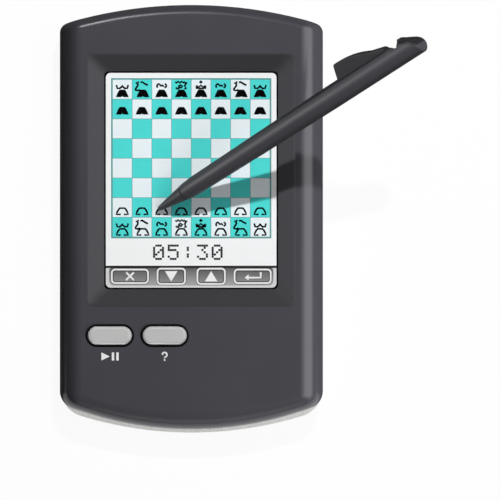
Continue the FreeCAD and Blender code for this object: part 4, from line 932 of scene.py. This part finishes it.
# %% Paper
paper, paper_shader = new_finish("white_paper", Base_Color=colour("#F4F4F4"), Roughness=0.9)
rays = add_node(paper, "ShaderNodeLightPath")
seen = add_node(paper, "ShaderNodeMath", {"operation": "MAXIMUM"}, {
    0: rays.outputs["Is Camera Ray"], 1: rays.outputs["Is Transmission Ray"]})
seen_or_mirrored = add_node(paper, "ShaderNodeMath", {"operation": "MAXIMUM"}, {
    0: seen.outputs["Value"], 1: rays.outputs["Is Glossy Ray"]})
glow_share = add_node(paper, "ShaderNodeMath", {"operation": "MULTIPLY"}, {
    0: seen_or_mirrored.outputs["Value"], 1: GLOW_SHARE})
glow = add_node(paper, "ShaderNodeEmission", inputs={"Strength": 1.0})
glowing = add_node(paper, "ShaderNodeMixShader", inputs={
    0: glow_share.outputs["Value"], 1: paper_shader.outputs["BSDF"], 2: glow.outputs["Emission"]})
link(paper, glowing.outputs["Shader"], paper.node_tree.nodes["Material Output"], "Surface")
for sheet_piece in (floor_front, floor_back):
    sheet_piece.data.materials.append(paper)
print("paper glow", GLOW_SHARE)

# %% [markdown]
# ## Light
# A small lamp beyond the upper edge throws the stylus's shadow across the display, and a wide soft
# box on the right fills it in. The front shell has a pair of its own in their place, a small lamp
# from the upper right and a box low at the front right, so that its left side stays dark and its
# lower edge light. The other lamps only mirror: a wide glow draws the broad highlight along the
# right side, two strips trace the lower and the upper edge, one lamp draws a band along the
# stylus, and one the buttons' rims. A dim sky fills the rest. Each lamp is given as the share of
# full light that it puts on an upward face. The shares that light a surface add up to one with
# the sky, so a colour shows about as it is written.
#
# A photographer hoods the lamps, and holds black cards around the part, so that its edges don't
# mirror the white sheet. Light linking does that here: it names the pieces that a light or the
# glowing sheet reaches, and the pieces that cast its shadow. So the frame around the display
# throws no shadow on it.

# %% Lamps
LAMP_DISTANCE = 0.9


def soft_box(name, direction, size, share, diffuse=True, glossy=True):
    """A rectangular lamp that gives an upward face a share of the light that shows white."""
    lamp = bpy.data.lights.new(name, "AREA")
    lamp.shape = "RECTANGLE"
    lamp.size, lamp.size_y = size
    away = Vector(direction).normalized()
    # A power of pi squared times the distance squared makes a white face turned to the lamp white.
    lamp.energy = share * (math.pi * LAMP_DISTANCE) ** 2 / away.z
    holder = bpy.data.objects.new(name, lamp)
    holder.location = away * LAMP_DISTANCE
    holder.rotation_euler = away.to_track_quat("Z", "Y").to_euler()
    holder.visible_diffuse = diffuse
    holder.visible_glossy = glossy
    scene.collection.objects.link(holder)
    print(f"{name}: {lamp.energy:.1f} W")
    return holder


key_lamp = soft_box("key_lamp", (0.2, 0.61, 1), (0.02, 0.02), 0.62, glossy=False)
side_box = soft_box("side_box", (0.545, 0, 0.839), (1.0, 0.45), 0.36, glossy=False)
shell_key = soft_box("shell_key", (0.57, 0.7, 1), (0.02, 0.02), 0.62, glossy=False)
shell_box = soft_box("shell_box", (0.8, -0.65, 0.5), (0.5, 0.3), 0.36, glossy=False)
side_glow = soft_box("side_glow", (0.63, 0, 0.777), (1.0, 0.75), 0.5, diffuse=False)
soft_box("front_strip", (0, -1, 0.4), (0.6, 0.4), 0.02, diffuse=False)
soft_box("back_strip", (-0.16, 0.43, 0.89), (0.1, 0.08), 0.14, diffuse=False)
stylus_lamp = soft_box("stylus_lamp", (-0.91, -0.06, 0.4), (0.3, 0.25), 0.16, diffuse=False)
button_lamp = soft_box("button_lamp", (-0.2, -1, 0.3), (0.9, 0.3), 0.55, diffuse=False)


# %% Cards
def link_light(source, side, nodes, state):
    """Names the pieces that a light reaches (receiver) or that block it (blocker)."""
    pieces = bpy.data.collections.new(source.name + "_" + side)
    for node in nodes:
        pieces.objects.link(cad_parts[node])
    for entry in pieces.collection_objects:
        entry.light_linking.link_state = state
    setattr(source.light_linking, side + "_collection", pieces)
    print(source.name, side, state.lower(), ", ".join(nodes))


STYLUS = ["stylus_barrel", "stylus_nib"]
FRAME = ["front_shell", "screen_surround", "screen_gasket"]
SHELL = ["front_shell"]

link_light(floor_front, "receiver", STYLUS, "EXCLUDE")
link_light(floor_back, "receiver", SHELL + STYLUS, "EXCLUDE")
for lamp in (key_lamp, side_box):
    link_light(lamp, "receiver", SHELL, "EXCLUDE")
    link_light(lamp, "blocker", FRAME, "EXCLUDE")
for lamp in (shell_key, shell_box):
    link_light(lamp, "receiver", SHELL, "INCLUDE")
link_light(shell_key, "blocker", FRAME, "EXCLUDE")
link_light(shell_box, "blocker", FRAME + STYLUS, "EXCLUDE")
link_light(side_glow, "receiver", STYLUS, "EXCLUDE")
link_light(stylus_lamp, "receiver", STYLUS, "INCLUDE")
link_light(button_lamp, "receiver", ["start_button", "help_button"], "INCLUDE")

# %% Sky
SKY_STRENGTH = 0.02

sky = bpy.data.worlds.new("studio")
sky.use_nodes = True
sky_light = sky.node_tree.nodes["Background"]
sky_light.inputs["Color"].default_value = colour("#FFFFFF")
sky_light.inputs["Strength"].default_value = SKY_STRENGTH
scene.world = sky
print("sky strength", SKY_STRENGTH)
